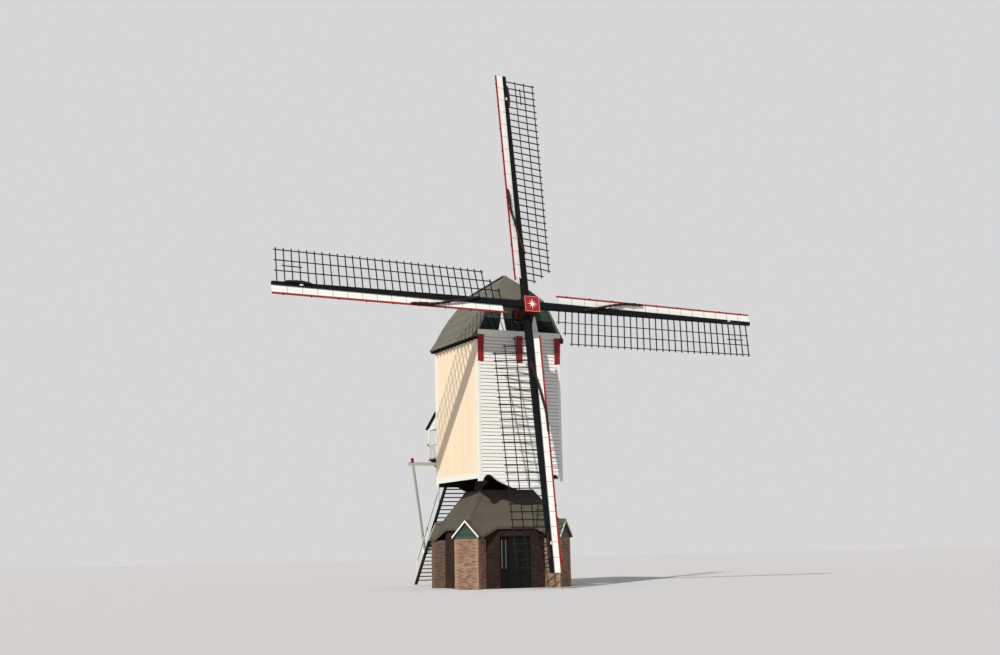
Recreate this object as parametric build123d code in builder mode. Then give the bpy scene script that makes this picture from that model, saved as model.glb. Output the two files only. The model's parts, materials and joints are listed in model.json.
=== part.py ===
"""Closed post mill: a boarded body that turns on a post above a brick roundhouse, with four lattice sails.

Millimetres, +Z up. The origin is on the axis of the post at ground level. The sails face -Y and the tail +Y.
"""
from build123d import *
import math
import os

os.makedirs("parts", exist_ok=True)

# Roundhouse: four brick piers under the ends of the crossbeams, with walls between them
roundhouse_turn = 7.5           # degrees that the roundhouse is turned from the body at rest
pier_reach = 3400               # from the post to a pier's outer face
pier_width = 1220
pier_depth = 1200
pier_height = 2270
wall_reach = 2300               # from the post to a wall's outer face
brick_thickness = 220
doorway_width = 1500
doorway_height = 2360
door_frame_width = 70
door_leaf_thickness = 45
door_gap = 8
door_seat = 0.3                 # between a leaf's hinge edge and the frame

# Roundhouse roof: four slopes around an open top, and a gablet over each pier
roof_top_reach = 1270           # from the post to the upper edge of a slope
roof_top_height = 4550
roof_eave_reach = 2420
roof_eave_height = 2820
roof_thickness = 110            # measured straight down
raised_eave_half = 880          # half the length of the raised eave above a wall
gablet_half_width = 690
gablet_eave_height = 2380
gablet_ridge_height = 3120
gablet_overhang = 90
gablet_board_thickness = 40
verge_board_width = 60
verge_board_thickness = 30

# Trestle: crossbeams, quarter bars, post and saddle
beam_width = 400
beam_depth = 400
beam_end_gap = 20               # from a crossbeam's end to the boards of the gablet
quarter_bar_width = 240
quarter_bar_foot = 2750         # outer end of a quarter bar's foot, from the post
quarter_bar_foot_length = 430
quarter_bar_top_length = 480
post_width = 720
post_gap = 25                   # the post hangs clear of the crossbeams
post_round_radius = 350
post_top_radius = 290
post_top_height = 8500
pintle_radius = 120
pintle_length = 260
saddle_height = 5200
saddle_thickness = 280
saddle_half_width = 640

# Body
body_width = 4270
body_length = 5000
side_wall_bottom = 5060
eave_height = 11700
wall_thickness = 80
floor_height = 6300
floor_thickness = 70
corner_board_width = 220        # on the sides of the body
corner_board_face = 140         # on its front and rear
corner_board_thickness = 28
corner_board_bottom = 4890
base_board_height = 270
base_board_thickness = 25
base_board_drop = 40            # the base boards hang below the side walls
plate_width = 200
plate_height = 160
sheer_width = 340
sheer_depth = 520
sheer_spread = 1300             # between the centres of the two sheers
post_clearance = 40
crown_size = 600
rear_door_width = 950
rear_door_height = 1950

# Lower edge of the front wall: x from the middle, and height
arch_foot = (1985, 4890)
arch_crown = (1730, 5190)
arch_end = (1420, 5040)
ogee_turn = (900, 4750)
apron_middle = (0, 4520)
apron_run_in = (0.75, 0.66)     # direction in which the ogee leaves the arch

# Body roof: half outlines at the front and rear, as x from the middle and height
front_ridge_height = 14980
front_shoulder = (1290, 13560)  # the half hip ends here on the verge
front_waist = (2040, 12250)
rear_ridge_height = 14600
rear_shoulder = (1290, 13290)
rear_waist = (2040, 12110)
roof_eave = (2400, 11600)
roof_shell_thickness = 90
roof_skirt = 0.5                # the outline runs on below the eave by this share and is cut there
front_verge_overhang = 60
rear_verge_overhang = 180
peak_setback = 1350             # the ridge starts this far behind the front wall
gable_thickness = 60
gable_hole_radius = 318         # the windshaft's way through the front gable
neck_beam_y = -2150
neck_beam_width = 380
neck_beam_drop = 150            # from the shaft's axis down to the top of the neck beam
tail_beam_y = 2150
tail_beam_width = 320
tail_beam_height = 480
eave_board_height = 230
eave_board_projection = 150
corbel_width = 280
corbel_height = 1300
corbel_projection = 140
corbel_steps = ((0.45, 0.08, 0.36), (0.72, 0.40, 0.68), (1, 0.72, 1))   # shares of depth and height
ornament_side = 855
ornament_width = 380
ornament_height = 1000
ornament_thickness = 25
ornament_knob_radius = 65
rafter_end_width = 90
rafter_end_height = 220
rafter_end_count = 13

# Rear balcony and its lean-to canopy
balcony_half_width = 2100
balcony_depth = 1150
balcony_rail_height = 760
rail_bar = 50
baluster_width = 40
baluster_pitch = 190
canopy_wall_height = 8650
canopy_eave_height = 7880
canopy_overhang = 110
canopy_thickness = 60
canopy_post = 90
canopy_beam_height = 7760
bracket_drop = 420
bracket_width = 110
bracket_places = (-0.95, -0.35, 0.35, 0.95)     # shares of the balcony's half width
bracket_share = 0.9             # share of the balcony's depth
bracket_curve = (0.62, 0.64)    # a point on a bracket's curved edge, as shares of reach and drop
lower_rail_height = 90

# Tail: cross spar, braces, pole and ladder
spar_half_length = 3600
spar_height = 6000
spar_size = 150
pole_start = (900, 5580)        # y and height of the pole's centre line under the body
pole_end = (9300, 1750)
pole_root = 360
pole_tip = 260
pole_passage_side = 30          # room on each side of the pole where it passes the treads
brace_radius = 70
brace_spread = 3340
brace_top_length = 420
brace_foot_rise = 0.6           # share of the pole's thickness above its centre line
brace_spar_gap = 0.7            # share of a brace's radius behind the spar
bolster_y = 1300
bolster_length = 300
bolster_depth = 560
ladder_angle = 50
ladder_width = 1500
ladder_foot = 50
stringer_thickness = 60
stringer_depth = 230
tread_rise = 200
tread_depth = 240
tread_thickness = 50
tread_setback = 20              # from the upper edge of the stringers
handrail_height = 850
handrail_size = 55
handrail_end = 0.94             # shares of the ladder's run
handrail_posts = (0.04, 0.34, 0.64, 0.92)
handrail_housing = 5            # a post stops this far below the rail's upper edge

# Windshaft and sails
hub_forward = 3815              # from the post to the outer stock
hub_height = 12980
shaft_tilt = 10.6               # degrees that the shaft rises to the front
sail_lean = 0.95                # degrees that the sail cross is turned at rest
stock_half_length = 12400
stock_spacing = 450             # the inner stock sits this far behind the outer one
stock_root = 300
stock_tip = 160
poll_size = 770
poll_front = 180                # the poll stands this far before the middle of the outer stock
poll_length = 1130
neck_radius = 270
shaft_rear_radius = 200
shaft_rear = 2350               # y of the shaft's rear end, along the body

sail_heel = 1500                # where the boards and the first bar start
strip_heel = 1350
weather_heel = 14               # degrees that the lattice is set back at the heel
weather_tip = 3
board_width = 330
board_thickness = 28
strip_width = 85
strip_thickness = 34
strip_seat = 0.3
bar_count = 31
bar_pitch = 355
bar_width = 40
bar_depth = 45
rail_offsets = (550, 1050, 1550)    # from the stock to the lattice's long rails
short_rail_offset = 800
short_rail_bars = (3, 1)        # bars, counted in from the last one, where the short rail ends
rail_width = 38
rail_depth = 34
bar_overrun = 100
span_count = 5                  # straight stretches in a rail or board
cloth_radius = 65
cloth_points = ((2700, -120), (3900, 170), (5000, 410), (6100, 440))    # along, and to the leading side
cloth_drops = (5, 10, 20, 40)       # the roll sinks by this much towards its end
cloth_bend = 1200
cloth_sink = 15                 # the roll is pressed onto the stock
cloth_end_line = ((10650, -70), (11000, -110), (11500, -110), (11850, -80))     # its loose outer end
cloth_end_bend = 400

# Clearances between pieces that move against each other
running_gap = 6
bearing_gap = 0.3

half_width = body_width / 2
half_length = body_length / 2
front_heading = -90 - roundhouse_turn
side_names = {"front": 0, "right": 90, "back": 180, "left": 270}
pier_turns = (45, 135, 225, 315)


def write(piece, name):
    """Label a finished piece and write it under its own name."""
    piece.part.label = name
    export_step(piece.part, f"parts/{name}.step")


def plan_plane(heading, height=0):
    """Level plane whose x axis points away from the post along a heading."""
    angle = math.radians(heading)
    return Plane(origin=(0, 0, height), x_dir=(math.cos(angle), math.sin(angle), 0), z_dir=(0, 0, 1))


def upright_plane(heading):
    """Upright plane through the post: x away from the post along a heading, y up."""
    angle = math.radians(heading)
    return Plane(origin=(0, 0, 0), x_dir=(math.cos(angle), math.sin(angle), 0),
                 z_dir=(math.sin(angle), -math.cos(angle), 0))


# Piers
with BuildPart() as brick_piers:
    for turn in pier_turns:
        with BuildSketch(plan_plane(front_heading + turn)):
            with Locations((pier_reach - pier_depth / 2, 0)):
                Rectangle(pier_depth, pier_width)
        extrude(amount=pier_height)
write(brick_piers, "brick_piers")


# Roof slope of the roundhouse as a line in the upright plane
roof_fall = (roof_top_height - roof_eave_height) / (roof_eave_reach - roof_top_reach)


def roof_height_at(reach):
    """Top of a roundhouse slope at a distance from the post, square to the wall."""
    return roof_top_height - roof_fall * (reach - roof_top_reach)


def gablet_height_at(offset):
    """Top of a gablet slope at a distance to the side of its ridge."""
    fall = (gablet_ridge_height - gablet_eave_height) / gablet_half_width
    return gablet_ridge_height - fall * offset


def wall_blank(heading):
    """Sloped-top wall between two piers, still with square ends."""
    inner = wall_reach - brick_thickness
    with BuildPart() as blank:
        with BuildSketch(upright_plane(heading)):
            with BuildLine():
                Polyline((inner, 0), (wall_reach, 0),
                         (wall_reach, roof_height_at(wall_reach) - roof_thickness),
                         (inner, roof_height_at(inner) - roof_thickness), close=True)
            make_face()
        extrude(amount=wall_reach, both=True)
        for turn in (-45, 45):
            with BuildSketch(plan_plane(heading + turn)):
                with Locations((pier_reach / 2, 0)):
                    Rectangle(pier_reach, pier_width)
            extrude(amount=roof_top_height, mode=Mode.SUBTRACT)
            with BuildSketch(plan_plane(heading + turn)):
                with Locations((pier_reach / 2, math.copysign(pier_reach / 2, turn))):
                    Rectangle(pier_reach, pier_reach)
            extrude(amount=roof_top_height, mode=Mode.SUBTRACT)
    return blank.part


# Side and back walls
with BuildPart() as side_walls:
    for side in ("right", "back", "left"):
        add(wall_blank(front_heading + side_names[side]))
write(side_walls, "roundhouse_walls")

# Front wall, in three pieces: one on each side of the doorway, and one over it
front_blank = wall_blank(front_heading)
with BuildPart() as wall_beside_door:
    add(front_blank)
    with BuildSketch(plan_plane(front_heading)):
        with Locations((wall_reach, 0)):
            Rectangle(wall_reach, doorway_width)
    extrude(amount=roof_top_height, mode=Mode.SUBTRACT)
write(wall_beside_door, "roundhouse_wall_front")

with BuildPart() as wall_over_door:
    add(front_blank)
    with BuildSketch(plan_plane(front_heading, doorway_height)):
        with Locations((wall_reach, 0)):
            Rectangle(wall_reach, doorway_width)
    extrude(amount=roof_top_height, mode=Mode.INTERSECT)
write(wall_over_door, "roundhouse_wall_over_door")

# Door frame and the two leaves, which stand in the outer half of the doorway
frame_reach = wall_reach - brick_thickness / 2
with BuildPart() as door_frame:
    with BuildSketch(plan_plane(front_heading)):
        with Locations((frame_reach, 0)):
            Rectangle(brick_thickness / 2, doorway_width)
    extrude(amount=doorway_height)
    with BuildSketch(plan_plane(front_heading)):
        with Locations((frame_reach, 0)):
            Rectangle(brick_thickness, doorway_width - 2 * door_frame_width)
    extrude(amount=doorway_height - door_frame_width, mode=Mode.SUBTRACT)
write(door_frame, "roundhouse_door_frame")

hinge_edge = doorway_width / 2 - door_frame_width - door_seat
leaf_width = hinge_edge - door_gap / 2
leaf_reach = frame_reach + brick_thickness / 4 - door_leaf_thickness / 2
leaf_height = doorway_height - door_frame_width - 2 * door_gap
for leaf, side in (("left", -1), ("right", 1)):
    with BuildPart() as door_leaf:
        with BuildSketch(plan_plane(front_heading, door_gap)):
            with Locations((leaf_reach, side * (hinge_edge - leaf_width / 2))):
                Rectangle(door_leaf_thickness, leaf_width)
        extrude(amount=leaf_height)
    write(door_leaf, f"roundhouse_door_{leaf}")


# Roof slopes: a slanted slab cut to its plan, from the open top to the hips, valleys and eave
valley_reach = roof_top_reach + (roof_top_height - gablet_eave_height) / roof_fall
valley_side = valley_reach - math.sqrt(2) * gablet_half_width
ridge_reach = roof_top_reach + (roof_top_height - gablet_ridge_height) / roof_fall
for side, turn in side_names.items():
    with BuildPart() as slope:
        with BuildSketch(upright_plane(front_heading + turn)):
            with BuildLine():
                Polyline((roof_top_reach, roof_top_height), (valley_reach, gablet_eave_height),
                         (valley_reach, gablet_eave_height - roof_thickness),
                         (roof_top_reach, roof_top_height - roof_thickness), close=True)
            make_face()
        extrude(amount=ridge_reach, both=True)
        with BuildSketch(plan_plane(front_heading + turn)):
            with BuildLine():
                Polyline((roof_top_reach, roof_top_reach), (ridge_reach, ridge_reach),
                         (valley_reach, valley_side), (roof_eave_reach, raised_eave_half),
                         (roof_eave_reach, -raised_eave_half), (valley_reach, -valley_side),
                         (ridge_reach, -ridge_reach), (roof_top_reach, -roof_top_reach), close=True)
            make_face()
        extrude(amount=roof_top_height, mode=Mode.INTERSECT)
    write(slope, f"roundhouse_roof_{side}")


def across(heading, distance):
    """Upright plane square to a heading, at a distance from the post: x to the side, y up."""
    angle = math.radians(heading)
    return Plane(origin=(distance * math.cos(angle), distance * math.sin(angle), 0),
                 x_dir=(-math.sin(angle), math.cos(angle), 0),
                 z_dir=(math.cos(angle), math.sin(angle), 0))


# Gablets: a small chevron roof, a boarded front and two verge boards over each pier
ridge_start = math.sqrt(2) * ridge_reach
gablet_end = pier_reach + gablet_overhang
valley_start = (valley_reach + valley_side) / math.sqrt(2)

def chevron(heading, start, end, half, foot, apex, thickness):
    """Upside-down V of one thickness that runs outward over a pier, from start to end."""
    with BuildPart() as roof_piece:
        with BuildSketch(across(heading, start)):
            with BuildLine():
                Polyline((-half, foot), (0, apex), (half, foot), (half, foot - thickness),
                         (0, apex - thickness), (-half, foot - thickness), close=True)
            make_face()
        extrude(amount=end - start)
    return roof_piece.part


def gablet_roof(heading):
    """Chevron cut in plan to the valleys where it meets the two slopes."""
    with BuildPart() as gablet:
        add(chevron(heading, valley_start, gablet_end, gablet_half_width,
                    gablet_eave_height, gablet_ridge_height, roof_thickness))
        with BuildSketch(plan_plane(heading)):
            with BuildLine():
                Polyline((ridge_start, 0), (valley_start, gablet_half_width),
                         (gablet_end, gablet_half_width), (gablet_end, -gablet_half_width),
                         (valley_start, -gablet_half_width), close=True)
            make_face()
        extrude(amount=roof_top_height, mode=Mode.INTERSECT)
    return gablet.part


with BuildPart() as gablet_roofs:
    for turn in pier_turns:
        add(gablet_roof(front_heading + turn))
write(gablet_roofs, "gablet_roofs")

board_half = pier_width / 2
board_foot = gablet_height_at(board_half) - roof_thickness
with BuildPart() as gablet_boards:
    for turn in pier_turns:
        with BuildSketch(across(front_heading + turn, pier_reach - gablet_board_thickness)):
            with BuildLine():
                Polyline((-board_half, pier_height), (-board_half, board_foot),
                         (0, gablet_ridge_height - roof_thickness), (board_half, board_foot),
                         (board_half, pier_height), close=True)
            make_face()
        extrude(amount=gablet_board_thickness)
write(gablet_boards, "gablet_boards")

with BuildPart() as verge_boards:
    for turn in pier_turns:
        add(chevron(front_heading + turn, gablet_end, gablet_end + verge_board_thickness,
                    gablet_half_width, gablet_eave_height, gablet_ridge_height,
                    verge_board_width * math.sqrt(2)))
write(verge_boards, "verge_boards")

# Crossbeams, halved where they cross
beam_half_length = pier_reach - gablet_board_thickness - beam_end_gap
for beam, turn, halving in (("crossbeam_one", 45, beam_depth / 2), ("crossbeam_two", 135, 0)):
    with BuildPart() as crossbeam:
        with BuildSketch(plan_plane(front_heading + turn, pier_height)):
            Rectangle(2 * beam_half_length, beam_width)
        extrude(amount=beam_depth)
        with BuildSketch(plan_plane(front_heading + turn, pier_height + halving)):
            Rectangle(beam_width, beam_width)
        extrude(amount=beam_depth / 2, mode=Mode.SUBTRACT)
    write(crossbeam, beam)

# Quarter bars, from the ends of the crossbeams up to the faces of the post
beam_top = pier_height + beam_depth
with BuildPart() as quarter_bars:
    for turn in pier_turns:
        with BuildSketch(upright_plane(front_heading + turn)):
            with BuildLine():
                Polyline((quarter_bar_foot, beam_top), (post_width / 2, saddle_height),
                         (post_width / 2, saddle_height - quarter_bar_top_length),
                         (quarter_bar_foot - quarter_bar_foot_length, beam_top), close=True)
            make_face()
        extrude(amount=quarter_bar_width / 2, both=True)
write(quarter_bars, "quarter_bars")

# Main post: square between the quarter bars, round through the floor, with a pintle on top
post_foot = beam_top + post_gap
with BuildPart() as main_post:
    with BuildSketch(plan_plane(front_heading + 45, post_foot)):
        Rectangle(post_width, post_width)
    extrude(amount=saddle_height - post_foot)
    with BuildSketch(Plane.XY.offset(saddle_height)):
        Circle(post_round_radius)
    with BuildSketch(Plane.XY.offset(saddle_height + saddle_thickness)):
        Circle(post_round_radius)
    loft()
    with BuildSketch(Plane.XY.offset(saddle_height + saddle_thickness)):
        Circle(post_round_radius)
    with BuildSketch(Plane.XY.offset(post_top_height)):
        Circle(post_top_radius)
    loft()
    with BuildSketch(Plane.XY.offset(post_top_height)):
        Circle(pintle_radius)
    extrude(amount=pintle_length)
write(main_post, "main_post")

with BuildPart() as saddle:
    with BuildSketch(plan_plane(front_heading, saddle_height)):
        RegularPolygon(saddle_half_width, 8, major_radius=False)
        Circle(post_round_radius, mode=Mode.SUBTRACT)
    extrude(amount=saddle_thickness)
write(saddle, "saddle")

# Tail pole, from between the sheers out to the rear
floor_bottom = floor_height - floor_thickness
inside_half_width = half_width - wall_thickness
inside_half_length = half_length - wall_thickness
pole_drop = pole_start[1] - pole_end[1]
pole_run = pole_end[0] - pole_start[0]
pole_angle = math.atan2(pole_drop, pole_run)
pole_length = math.hypot(pole_drop, pole_run)
pole_axis = Plane(origin=(0, pole_start[0], pole_start[1]), x_dir=(1, 0, 0),
                  z_dir=(0, math.cos(pole_angle), -math.sin(pole_angle)))
with BuildPart() as tail_pole:
    with BuildSketch(pole_axis):
        Rectangle(pole_root, pole_root)
    with BuildSketch(pole_axis.offset(pole_length)):
        Rectangle(pole_tip, pole_tip)
    loft(ruled=True)
write(tail_pole, "tail_pole")

# Sheers, and the bolster under them that the tail pole is let into
sheer_bottom = floor_bottom - sheer_depth
with BuildPart() as sheers:
    with BuildSketch(Plane.XY.offset(sheer_bottom)):
        with Locations((-sheer_spread / 2, 0), (sheer_spread / 2, 0)):
            Rectangle(sheer_width, 2 * inside_half_length)
    extrude(amount=sheer_depth)
    with BuildSketch(Plane.XY.offset(sheer_bottom - bolster_depth)):
        with Locations((0, bolster_y)):
            Rectangle(sheer_spread + sheer_width, bolster_length)
    extrude(amount=bolster_depth)
    add(tail_pole.part, mode=Mode.SUBTRACT)
write(sheers, "sheers")

with BuildPart() as body_floor:
    with BuildSketch(Plane.XY.offset(floor_bottom)):
        Rectangle(2 * inside_half_width, 2 * inside_half_length)
        Circle(post_round_radius + post_clearance, mode=Mode.SUBTRACT)
    extrude(amount=floor_thickness)
write(body_floor, "body_floor")

with BuildPart() as crown_beam:
    with BuildSketch(Plane.XY.offset(post_top_height)):
        Rectangle(2 * inside_half_width, crown_size)
    extrude(amount=crown_size)
    with BuildSketch(Plane.XY.offset(post_top_height)):
        Circle(pintle_radius + running_gap)
    extrude(amount=pintle_length + running_gap, mode=Mode.SUBTRACT)
write(crown_beam, "crown_beam")

# Side walls
side_wall_middle = half_width - wall_thickness / 2
with BuildPart() as body_side_walls:
    with BuildSketch(Plane.XY.offset(side_wall_bottom)):
        with Locations((-side_wall_middle, 0), (side_wall_middle, 0)):
            Rectangle(wall_thickness, body_length)
    extrude(amount=eave_height - side_wall_bottom)
write(body_side_walls, "body_side_walls")


def apron_edge(sign):
    """Half of the front wall's lower edge: an arch inside the corner, then an ogee to the middle."""
    foot, crown, end, turn, middle = ((sign * x, z) for x, z in
                                      (arch_foot, arch_crown, arch_end, ogee_turn, apron_middle))
    with BuildLine() as edge:
        Line((sign * inside_half_width, arch_foot[1]), foot)
        ThreePointArc(foot, crown, end)
        Spline(end, turn, middle, tangents=((-sign * apron_run_in[0], -apron_run_in[1]), (-sign, 0)))
    return edge.line


front_plane = Plane.XZ.offset(half_length)
with BuildPart() as front_wall:
    with BuildSketch(front_plane):
        with BuildLine():
            add(apron_edge(-1))
            add(apron_edge(1))
            Polyline((-inside_half_width, arch_foot[1]), (-inside_half_width, eave_height),
                     (inside_half_width, eave_height), (inside_half_width, arch_foot[1]))
        make_face()
    extrude(amount=-wall_thickness)
write(front_wall, "body_wall_front")

# Rear wall, with the doorway onto the balcony and its leaf
rear_plane = Plane.XZ.offset(-half_length)
with BuildPart() as rear_wall:
    with BuildSketch(rear_plane):
        with Locations((0, (side_wall_bottom + eave_height) / 2)):
            Rectangle(2 * inside_half_width, eave_height - side_wall_bottom)
        with Locations((0, floor_height + rear_door_height / 2)):
            Rectangle(rear_door_width, rear_door_height, mode=Mode.SUBTRACT)
    extrude(amount=wall_thickness)
    add(tail_pole.part, mode=Mode.SUBTRACT)
write(rear_wall, "body_wall_rear")

with BuildPart() as rear_door:
    with BuildSketch(rear_plane.offset(door_leaf_thickness)):
        with Locations((0, floor_height + rear_door_height / 2)):
            Rectangle(rear_door_width, rear_door_height)
    extrude(amount=-door_leaf_thickness)
write(rear_door, "body_door_rear")

# Corner boards and base boards
with BuildPart() as corner_boards:
    for x_sign in (-1, 1):
        for y_sign in (-1, 1):
            corner_x = x_sign * (half_width + corner_board_thickness)
            corner_y = y_sign * (half_length + corner_board_thickness)
            middle_x = corner_x - x_sign * corner_board_face / 2
            middle_y = corner_y - y_sign * corner_board_width / 2
            with BuildSketch(Plane.XY.offset(corner_board_bottom)):
                with Locations((middle_x, middle_y)):
                    Rectangle(corner_board_face, corner_board_width)
                with Locations((middle_x - x_sign * corner_board_thickness,
                                middle_y - y_sign * corner_board_thickness)):
                    Rectangle(corner_board_face, corner_board_width, mode=Mode.SUBTRACT)
            extrude(amount=eave_height - rafter_end_height - corner_board_bottom)
write(corner_boards, "corner_boards")

base_board_length = 2 * (half_length + corner_board_thickness - corner_board_width)
with BuildPart() as base_boards:
    for sign in (-1, 1):
        with BuildSketch(Plane.XY.offset(side_wall_bottom - base_board_drop)):
            with Locations((sign * (half_width + base_board_thickness / 2), 0)):
                Rectangle(base_board_thickness, base_board_length)
        extrude(amount=base_board_height)
write(base_boards, "base_boards")


def roof_section(y, ridge, shoulder, waist, inset):
    """Closed roof outline in an upright plane across the body, drawn in by an inset."""
    low_x = roof_eave[0] + roof_skirt * (roof_eave[0] - waist[0])
    low_z = roof_eave[1] + roof_skirt * (roof_eave[1] - waist[1])
    with BuildSketch(Plane.XZ.offset(-y)) as section:
        with BuildLine():
            ThreePointArc((0, ridge), (shoulder[0], shoulder[1]), (waist[0], waist[1]))
            Polyline(waist, (low_x, low_z), (-low_x, low_z), (-waist[0], waist[1]))
            ThreePointArc((-waist[0], waist[1]), (-shoulder[0], shoulder[1]), (0, ridge))
        make_face()
        if inset:
            offset(amount=-inset, kind=Kind.INTERSECTION)
    return section.sketch


def roof_body(inset):
    """Solid under the roof surface, from verge to verge and above the eave."""
    front_y = -half_length - front_verge_overhang
    rear_y = half_length + rear_verge_overhang
    with BuildPart() as body:
        add(roof_section(front_y, front_ridge_height, front_shoulder, front_waist, inset))
        add(roof_section(rear_y, rear_ridge_height, rear_shoulder, rear_waist, inset))
        loft(ruled=True)
        split(bisect_by=Plane.XY.offset(roof_eave[1]), keep=Keep.TOP)
    return body.part


roof_outside = roof_body(0)
roof_inside = roof_body(roof_shell_thickness)

# Half hip: the roof is cut by a plane that rises from the front shoulder to the ridge
hip_rise = front_ridge_height - front_shoulder[1]
hip_angle = math.atan2(hip_rise, peak_setback)
hip_plane = Plane(origin=(0, -half_length, front_shoulder[1]), x_dir=(1, 0, 0),
                  z_dir=(0, -math.sin(hip_angle), math.cos(hip_angle)))
hip_underside = hip_plane.offset(-roof_shell_thickness)

with BuildPart() as roof_hip:
    add(roof_outside)
    split(bisect_by=hip_plane, keep=Keep.BOTTOM)
    split(bisect_by=hip_underside, keep=Keep.TOP)
write(roof_hip, "body_roof_hip")

with BuildPart() as roof_shell:
    add(roof_outside)
    add(roof_inside, mode=Mode.SUBTRACT)
    split(bisect_by=hip_underside, keep=Keep.BOTTOM)
for side, keep in (("left", Keep.BOTTOM), ("right", Keep.TOP)):
    with BuildPart() as roof_half:
        add(roof_shell.part)
        split(bisect_by=Plane.YZ, keep=keep)
    write(roof_half, f"body_roof_{side}")

# Axis of the windshaft, and planes that turn with the sails
tilt = math.radians(shaft_tilt)
hub_plane = Plane(origin=(0, -hub_forward, hub_height), x_dir=(1, 0, 0),
                  z_dir=(0, -math.cos(tilt), math.sin(tilt)))


def shaft_height_at(y):
    """Height of the windshaft's axis at a place along the body."""
    return hub_height - (y + hub_forward) * math.tan(tilt)


def shaft_hole(radius):
    """Cylinder on the windshaft's axis, through the whole body."""
    with BuildPart() as hole:
        with BuildSketch(hub_plane):
            Circle(radius)
        extrude(amount=-3 * body_length)
    return hole.part


# Gables inside the ends of the roof
gable_middle = half_length - gable_thickness / 2
with BuildPart() as gables:
    with BuildSketch(Plane.XY.offset(eave_height)):
        with Locations((0, -gable_middle), (0, gable_middle)):
            Rectangle(2 * roof_eave[0], gable_thickness)
    extrude(amount=front_ridge_height - eave_height)
    add(roof_inside, mode=Mode.INTERSECT)
    split(bisect_by=hip_underside, keep=Keep.BOTTOM)
    add(shaft_hole(gable_hole_radius), mode=Mode.SUBTRACT)
write(gables, "gables")

# Wall plates under the feet of the roof
with BuildPart() as wall_plates:
    plate_length = body_length - 2 * gable_thickness
    for sign in (-1, 1):
        with BuildSketch(Plane.XY.offset(eave_height)):
            with Locations((sign * half_width, 0)):
                Rectangle(2 * plate_width, plate_length)
        extrude(amount=plate_height)
    add(roof_inside, mode=Mode.INTERSECT)
write(wall_plates, "wall_plates")

# Bearing beams of the windshaft, at the neck and at the tail
neck_beam_top = shaft_height_at(neck_beam_y) - neck_beam_drop
with BuildPart() as bearing_beams:
    with BuildSketch(Plane.XY.offset(eave_height + plate_height)):
        with Locations((0, neck_beam_y)):
            Rectangle(2 * roof_eave[0], neck_beam_width)
    extrude(amount=neck_beam_top - eave_height - plate_height)
    add(roof_inside, mode=Mode.INTERSECT)
    add(shaft_hole(neck_radius + bearing_gap), mode=Mode.SUBTRACT)
    with BuildSketch(Plane.XY.offset(eave_height - tail_beam_height)):
        with Locations((0, tail_beam_y)):
            Rectangle(2 * inside_half_width, tail_beam_width)
    extrude(amount=tail_beam_height)
    add(shaft_hole(shaft_rear_radius + bearing_gap), mode=Mode.SUBTRACT)
write(bearing_beams, "bearing_beams")

# Trim of the front gable: eave board, corbels and two slender triangles with a knob on top
corner_reach = half_width + corner_board_thickness
with BuildPart() as eave_board:
    with BuildSketch(Plane.XY.offset(eave_height)):
        with Locations((0, -half_length - eave_board_projection / 2)):
            Rectangle(2 * corner_reach, eave_board_projection)
    extrude(amount=eave_board_height)
    add(roof_shell.part, mode=Mode.SUBTRACT)
write(eave_board, "front_eave_board")

corbel_bottom = eave_height - corbel_height
corbel_side = corner_reach - corbel_width / 2
corbel_profile = [(-half_length, corbel_bottom)]
for step_depth, step_low, step_high in corbel_steps:
    step_face = -half_length - step_depth * corbel_projection
    corbel_profile.append((step_face, corbel_bottom + step_low * corbel_height))
    corbel_profile.append((step_face, corbel_bottom + step_high * corbel_height))
corbel_profile.append((-half_length, eave_height))
with BuildPart() as corbels:
    for x in (-corbel_side, 0, corbel_side):
        with BuildSketch(Plane.YZ.offset(x)):
            with BuildLine():
                Polyline(*corbel_profile, close=True)
            make_face()
        extrude(amount=corbel_width / 2, both=True)
    add(corner_boards.part, mode=Mode.SUBTRACT)
write(corbels, "front_corbels")

ornament_foot = eave_height + eave_board_height
with BuildPart() as ornaments:
    for sign in (-1, 1):
        with BuildSketch(Plane.XZ.offset(half_length)):
            with BuildLine():
                Polyline((sign * ornament_side - ornament_width / 2, ornament_foot),
                         (sign * ornament_side + ornament_width / 2, ornament_foot),
                         (sign * ornament_side, ornament_foot + ornament_height), close=True)
            make_face()
        extrude(amount=ornament_thickness)
        with Locations((sign * ornament_side, -half_length - ornament_thickness / 2,
                        ornament_foot + ornament_height)):
            Sphere(ornament_knob_radius)
    add(gables.part, mode=Mode.SUBTRACT)
write(ornaments, "gable_ornaments")

# Rafter ends under the side eaves
with BuildPart() as rafter_ends:
    rafter_pitch = (body_length - rafter_end_width) / (rafter_end_count - 1)
    for sign in (-1, 1):
        for index in range(rafter_end_count):
            y = -half_length + rafter_end_width / 2 + index * rafter_pitch
            with BuildSketch(Plane.XY.offset(eave_height - rafter_end_height)):
                with Locations((sign * (half_width + roof_eave[0]) / 2, y)):
                    Rectangle(roof_eave[0] - half_width, rafter_end_width)
            extrude(amount=rafter_end_height)
    with BuildSketch(Plane.XY.offset(roof_eave[1])):
        Rectangle(3 * body_width, 3 * body_length)
    extrude(amount=eave_height - roof_eave[1], mode=Mode.SUBTRACT)
write(rafter_ends, "rafter_ends")

# Rear balcony: floor, brackets, railing, posts and canopy
balcony_edge = half_length + balcony_depth
with BuildPart() as cross_spar:
    with BuildSketch(Plane.XY.offset(spar_height - spar_size / 2)):
        with Locations((0, half_length + spar_size / 2)):
            Rectangle(2 * spar_half_length, spar_size)
    extrude(amount=spar_size)
    add(corner_boards.part, mode=Mode.SUBTRACT)
write(cross_spar, "cross_spar")

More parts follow.
